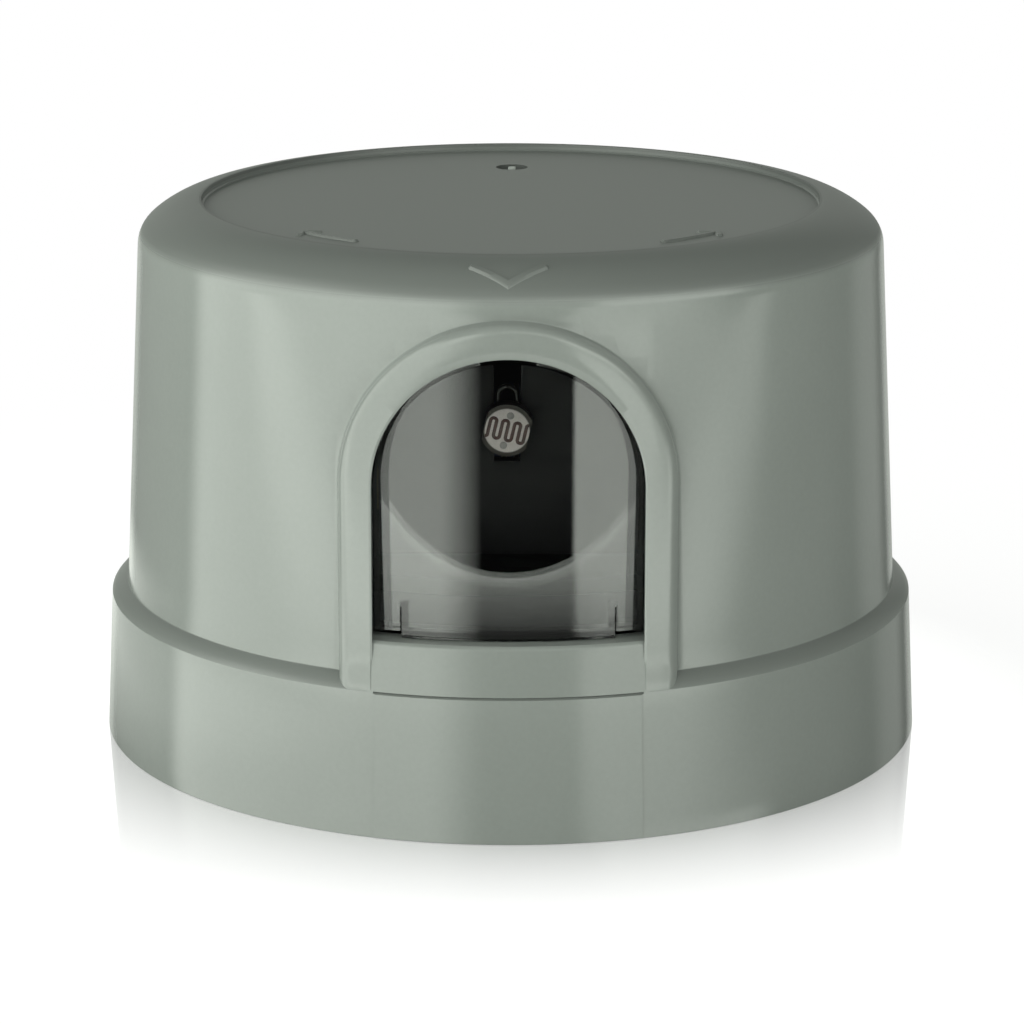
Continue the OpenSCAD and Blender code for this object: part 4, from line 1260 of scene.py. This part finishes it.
class SWITCH_OT_stage(bpy.types.Operator):
    """Set up the table, the lamps, the room and the camera"""

    bl_idname = "photocell_switch.stage"
    bl_label = "Stage"

    def execute(self, context):
        stage = context.scene.switch_stage
        context.scene.view_settings.view_transform = "Standard"
        self.table(stage)
        self.room(context, stage)
        # Soft boxes: side from the front, distance, half the angle they fill, foot, head, radiance,
        # and the shares of the width over which the left and the right end fade
        boxes = {
            "left_front_box": (-29.5, 0.55, 21.5, -0.20, 0.50, 2.85, 0.0, 0.28),
            "left_box": (-78.5, 0.42, 28.0, -0.05, 0.50, 2.75, 0.12, 0.0),
            "left_back_box": (-130.0, 0.50, 20.0, -0.05, 0.35, 0.2, 0.0, 0.0),
            "right_box": (43.0, 0.50, 25.2, 0.0, 0.14, 1.95, 0.05, 0.44),
            "right_high_box": (50.0, 0.50, 27.0, 0.14, 0.36, 2.75, 0.1, 0.2),
            "right_front_low_box": (29.0, 0.50, 11.4, -0.20, 0.0, 3.1, 0.06, 0.0),
            "right_low_box": (56.0, 0.50, 17.0, -0.20, 0.0, 1.2, 0.0, 0.4),
            "front_top_box": (22.0, 0.60, 30.0, 0.36, 0.75, 1.3, 0.2, 0.2),
            "right_back_box": (133.0, 0.50, 15.0, -0.20, 0.30, 0.38, 0.3, 0.3),
            "back_box": (180.0, 0.60, 30.0, -0.05, 0.36, 0.56, 0.1, 0.1),
        }
        for name, (side, distance, half, foot, head, radiance, *fades) in boxes.items():
            turned = Matrix.Rotation(math.radians(side), 3, "Z")
            middle = turned @ Vector((0.0, -distance, (foot + head) / 2))
            width = 2 * distance * math.tan(math.radians(half))
            aim = Vector((0.0, 0.0, middle.z))
            self.fade_ends(self.soft_box(stage, name, middle, aim, width, head - foot, radiance), *fades)
        under, centre = Vector((0.0, 0.0, -0.35)), Vector((0.0, 0.0, 0.0))
        self.soft_box(stage, "under_box", under, centre, 0.3, 0.3, 2.0)
        self.camera(context, stage)
        return {"FINISHED"}

    def soft_box(self, stage, name, place, aim, width, tall, radiance):
        """A flat lamp that faces a point and isn't seen by the camera."""
        lamp = bpy.data.lights.new(name, "AREA")
        lamp.shape = "RECTANGLE"
        lamp.size, lamp.size_y = width, tall
        lamp.energy = radiance * math.pi * width * tall
        lamp.color = stage.lamp_colour
        box = link(name, lamp)
        box.location = place
        box.rotation_euler = (aim - place).to_track_quat("-Z", "Y").to_euler()
        box.visible_camera = False
        return lamp

    def fade_ends(self, lamp, left, right):
        """Lets a lamp fade towards its ends, over these shares of its width."""
        lamp.use_nodes = True
        tree = lamp.node_tree
        where = add(tree, "ShaderNodeNewGeometry").outputs["Parametric"]
        across = add(tree, "ShaderNodeSeparateXYZ", {"Vector": where}).outputs["X"]
        ramps = {}
        for i, (end, full) in enumerate(((0.0, left), (1.0, 1.0 - right))):
            full = full if full != end else abs(end - TINY)
            ramp = add(tree, "ShaderNodeMapRange", {"Value": across, "From Min": end, "From Max": full})
            ramps[i] = ramp.outputs["Result"]
        both = add(tree, "ShaderNodeMath", ramps, operation="MULTIPLY")
        feed(tree, tree.nodes["Emission"].inputs["Strength"], both.outputs["Value"])

    def table(self, stage):
        """White table, open under the object, whose front edge swings forward to both sides."""
        columns, front = 96, -stage.table_front
        rings = [arc((0.0, 0.0), r, 0.0, math.tau, columns)[:-1] for r in (stage.table_hole_r, stage.table_r)]
        points = [(x, y, 0.0) for ring in rings for x, y in ring]
        pairs = [(i, (i + 1) % columns) for i in range(columns)]
        mesh = bpy.data.meshes.new("table")
        mesh.from_pydata(points, [], [[i, columns + i, columns + n, n] for i, n in pairs])
        with editing(mesh) as shape:
            bmesh.ops.bisect_plane(shape, geom=shape.verts[:] + shape.edges[:] + shape.faces[:],
                                   plane_co=(0.0, front, 0.0), plane_no=(0.0, -1.0, 0.0), clear_outer=True)
            for vertex in shape.verts:
                if abs(vertex.co.y - front) < TINY * 10:
                    vertex.co.y -= stage.table_bow * min(2.0, vertex.co.x / stage.bow_reach, key=abs) ** 2
            for face in shape.faces:
                if face.normal.z < 0:
                    face.normal_flip()
        table = link("table", mesh)
        table.data.materials.append(self.table_finish(stage))

    def table_finish(self, stage):
        """White for the camera, with the object's shadow and a short reflection; to glossy and matt faces
        white, with a painted glow.
        """
        finish = Finish("table_white", (0.62, 0.62, 0.62), 0.8)
        rim, front, lamp = CAD_BOX[1].x, stage.table_front, tone(stage.lamp_colour)
        away, x, y = finish.span(finish.place), finish.axis("X"), finish.axis("Y")

        def shader(kind, inputs=None):
            return finish.node(f"ShaderNode{kind}", inputs).outputs[0]

        def mix(factor, first, second):
            return shader("MixShader", {0: factor, 1: first, 2: second})

        def total(first, second):
            return shader("AddShader", {0: first, 1: second})

        # The camera sees white, a shadow round the object and a short mirror image of it
        mirror_share, mirror_fall, shadow_base, shadow_gain = 0.58, 1.25, 0.8, (0.3, 0.3, 0.3)
        shadow = total(shader("Emission", {"Strength": shadow_base}),
                       shader("BsdfDiffuse", {"Color": tone(shadow_gain)}))
        shade = finish.remap(away, rim, rim + stage.shade_reach, 1.0, 0.0)
        sheen = finish.remap(away, rim - MM, rim + stage.sheen_reach, 1.0, 0.0)
        sheen = finish.times(finish.math("POWER", sheen, mirror_fall), mirror_share)
        seen = mix(shade, shader("Emission"), shadow)
        seen = mix(sheen, seen, shader("BsdfGlossy", {"Roughness": 0.0}))

        # Glossy faces see a painted glow: a light front part, a strip along the bowed edge and a patch at the
        # left
        front_glow, rest_glow, edge_glow, patch_glow, left_glow = 1.8, 0.05, 0.9, 0.7, 0.3
        ahead = finish.times(finish.remap(y, -0.75 * front, -0.5 * front, front_glow, rest_glow),
                             finish.remap(away, front - 26 * MM, front, 0.1, 1.0))
        across = finish.math("POWER", finish.math("ABSOLUTE", x), 2.0)
        bow = finish.times(across, stage.table_bow / stage.bow_reach ** 2)
        behind_edge = finish.math("ADD", finish.math("ADD", y, bow), front)
        edge = finish.remap(behind_edge, 3 * MM, 5 * MM, edge_glow, 0.0)
        beside = finish.times(finish.remap(x, -40 * MM, -60 * MM, 0.0, patch_glow),
                              finish.remap(away, 85 * MM, 105 * MM, 1.0, 0.0))
        strength = finish.math("ADD", ahead, finish.math("ADD", edge, beside))
        polished = total(shader("Emission", {"Color": lamp, "Strength": strength}),
                         shader("BsdfGlossy", {"Color": tone((1.0, 1.0, 1.0)), "Roughness": 0.1}))

        # Matt faces get the light of a plain white table, with a painted glow at the left
        finish.set("Emission Color", lamp)
        finish.set("Emission Strength", finish.remap(x, -20 * MM, -120 * MM, 0.0, left_glow))
        path = finish.node("ShaderNodeLightPath").outputs
        behind = finish.node("ShaderNodeNewGeometry").outputs["Backfacing"]
        whole = mix(path["Is Glossy Ray"], finish.shader.outputs["BSDF"], polished)
        whole = mix(behind, mix(path["Is Camera Ray"], whole, seen), shader("BsdfTransparent"))
        feed(finish.tree, finish.tree.nodes["Material Output"].inputs["Surface"], whole)
        return finish.material

    def room(self, context, stage):
        """White to the camera and in the table's mirror, soft to matt faces and dark to glossy ones."""
        world = bpy.data.worlds.new("studio")
        context.scene.world = world
        world.use_nodes = True
        tree = world.node_tree
        path = add(tree, "ShaderNodeLightPath").outputs
        either = add(tree, "ShaderNodeMath", {0: path["Is Camera Ray"], 1: path["Is Singular Ray"]},
                     operation="MAXIMUM")
        colour = mixed(tree, path["Is Glossy Ray"], tone(stage.ambient), tone(stage.dark))
        colour = mixed(tree, either.outputs["Value"], colour, tone((1.0, 1.0, 1.0)))
        feed(tree, tree.nodes["Background"].inputs["Color"], colour)

    def camera(self, context, stage):
        """Camera at the photograph's angle."""
        data = bpy.data.cameras.new("camera")
        data.sensor_width = 36.0
        data.lens = stage.lens
        camera = bpy.data.objects.new("camera", data)
        flat = math.cos(stage.elevation)
        back = Vector((math.sin(stage.azimuth) * flat, -math.cos(stage.azimuth) * flat,
                       math.sin(stage.elevation)))
        camera.location = Vector((stage.aim_x, 0.0, stage.aim_z)) + back * stage.distance
        camera.rotation_euler = (-back).to_track_quat("-Z", "Y").to_euler()
        context.scene.collection.objects.link(camera)
        context.scene.camera = camera


# Add-on

OPERATORS = (SWITCH_OT_stage, SWITCH_OT_cover, SWITCH_OT_lens, SWITCH_OT_photocell, SWITCH_OT_base,
             SWITCH_OT_board, SWITCH_OT_components)
SETTINGS = {"switch_cover": CoverSettings, "switch_lens": LensSettings, "switch_cell": CellSettings,
            "switch_stage": StageSettings}


class SWITCH_PT_panel(bpy.types.Panel):
    """Lists the settings and the operators"""

    bl_idname = "SWITCH_PT_panel"
    bl_label = "Photocell switch"
    bl_space_type = "VIEW_3D"
    bl_region_type = "UI"
    bl_category = "Photocell switch"

    def draw(self, context):
        for operator in OPERATORS:
            self.layout.operator(operator.bl_idname)
        for name, group in SETTINGS.items():
            box = self.layout.box()
            box.label(text=group.__doc__)
            settings = getattr(context.scene, name)
            for label in group.__annotations__:
                box.prop(settings, label)


def register():
    for kind in (*SETTINGS.values(), *OPERATORS, SWITCH_PT_panel):
        bpy.utils.register_class(kind)
    for name, group in SETTINGS.items():
        setattr(bpy.types.Scene, name, PointerProperty(type=group))


def unregister():
    for name in SETTINGS:
        delattr(bpy.types.Scene, name)
    for kind in reversed((*SETTINGS.values(), *OPERATORS, SWITCH_PT_panel)):
        bpy.utils.unregister_class(kind)


def main():
    """Builds the stage and every piece."""
    register()
    bpy.ops.photocell_switch.stage()
    bpy.ops.photocell_switch.cover()
    bpy.ops.photocell_switch.window_lens()
    bpy.ops.photocell_switch.photocell()
    bpy.ops.photocell_switch.base()
    bpy.ops.photocell_switch.board()
    bpy.ops.photocell_switch.components()


if __name__ == "__main__":
    main()
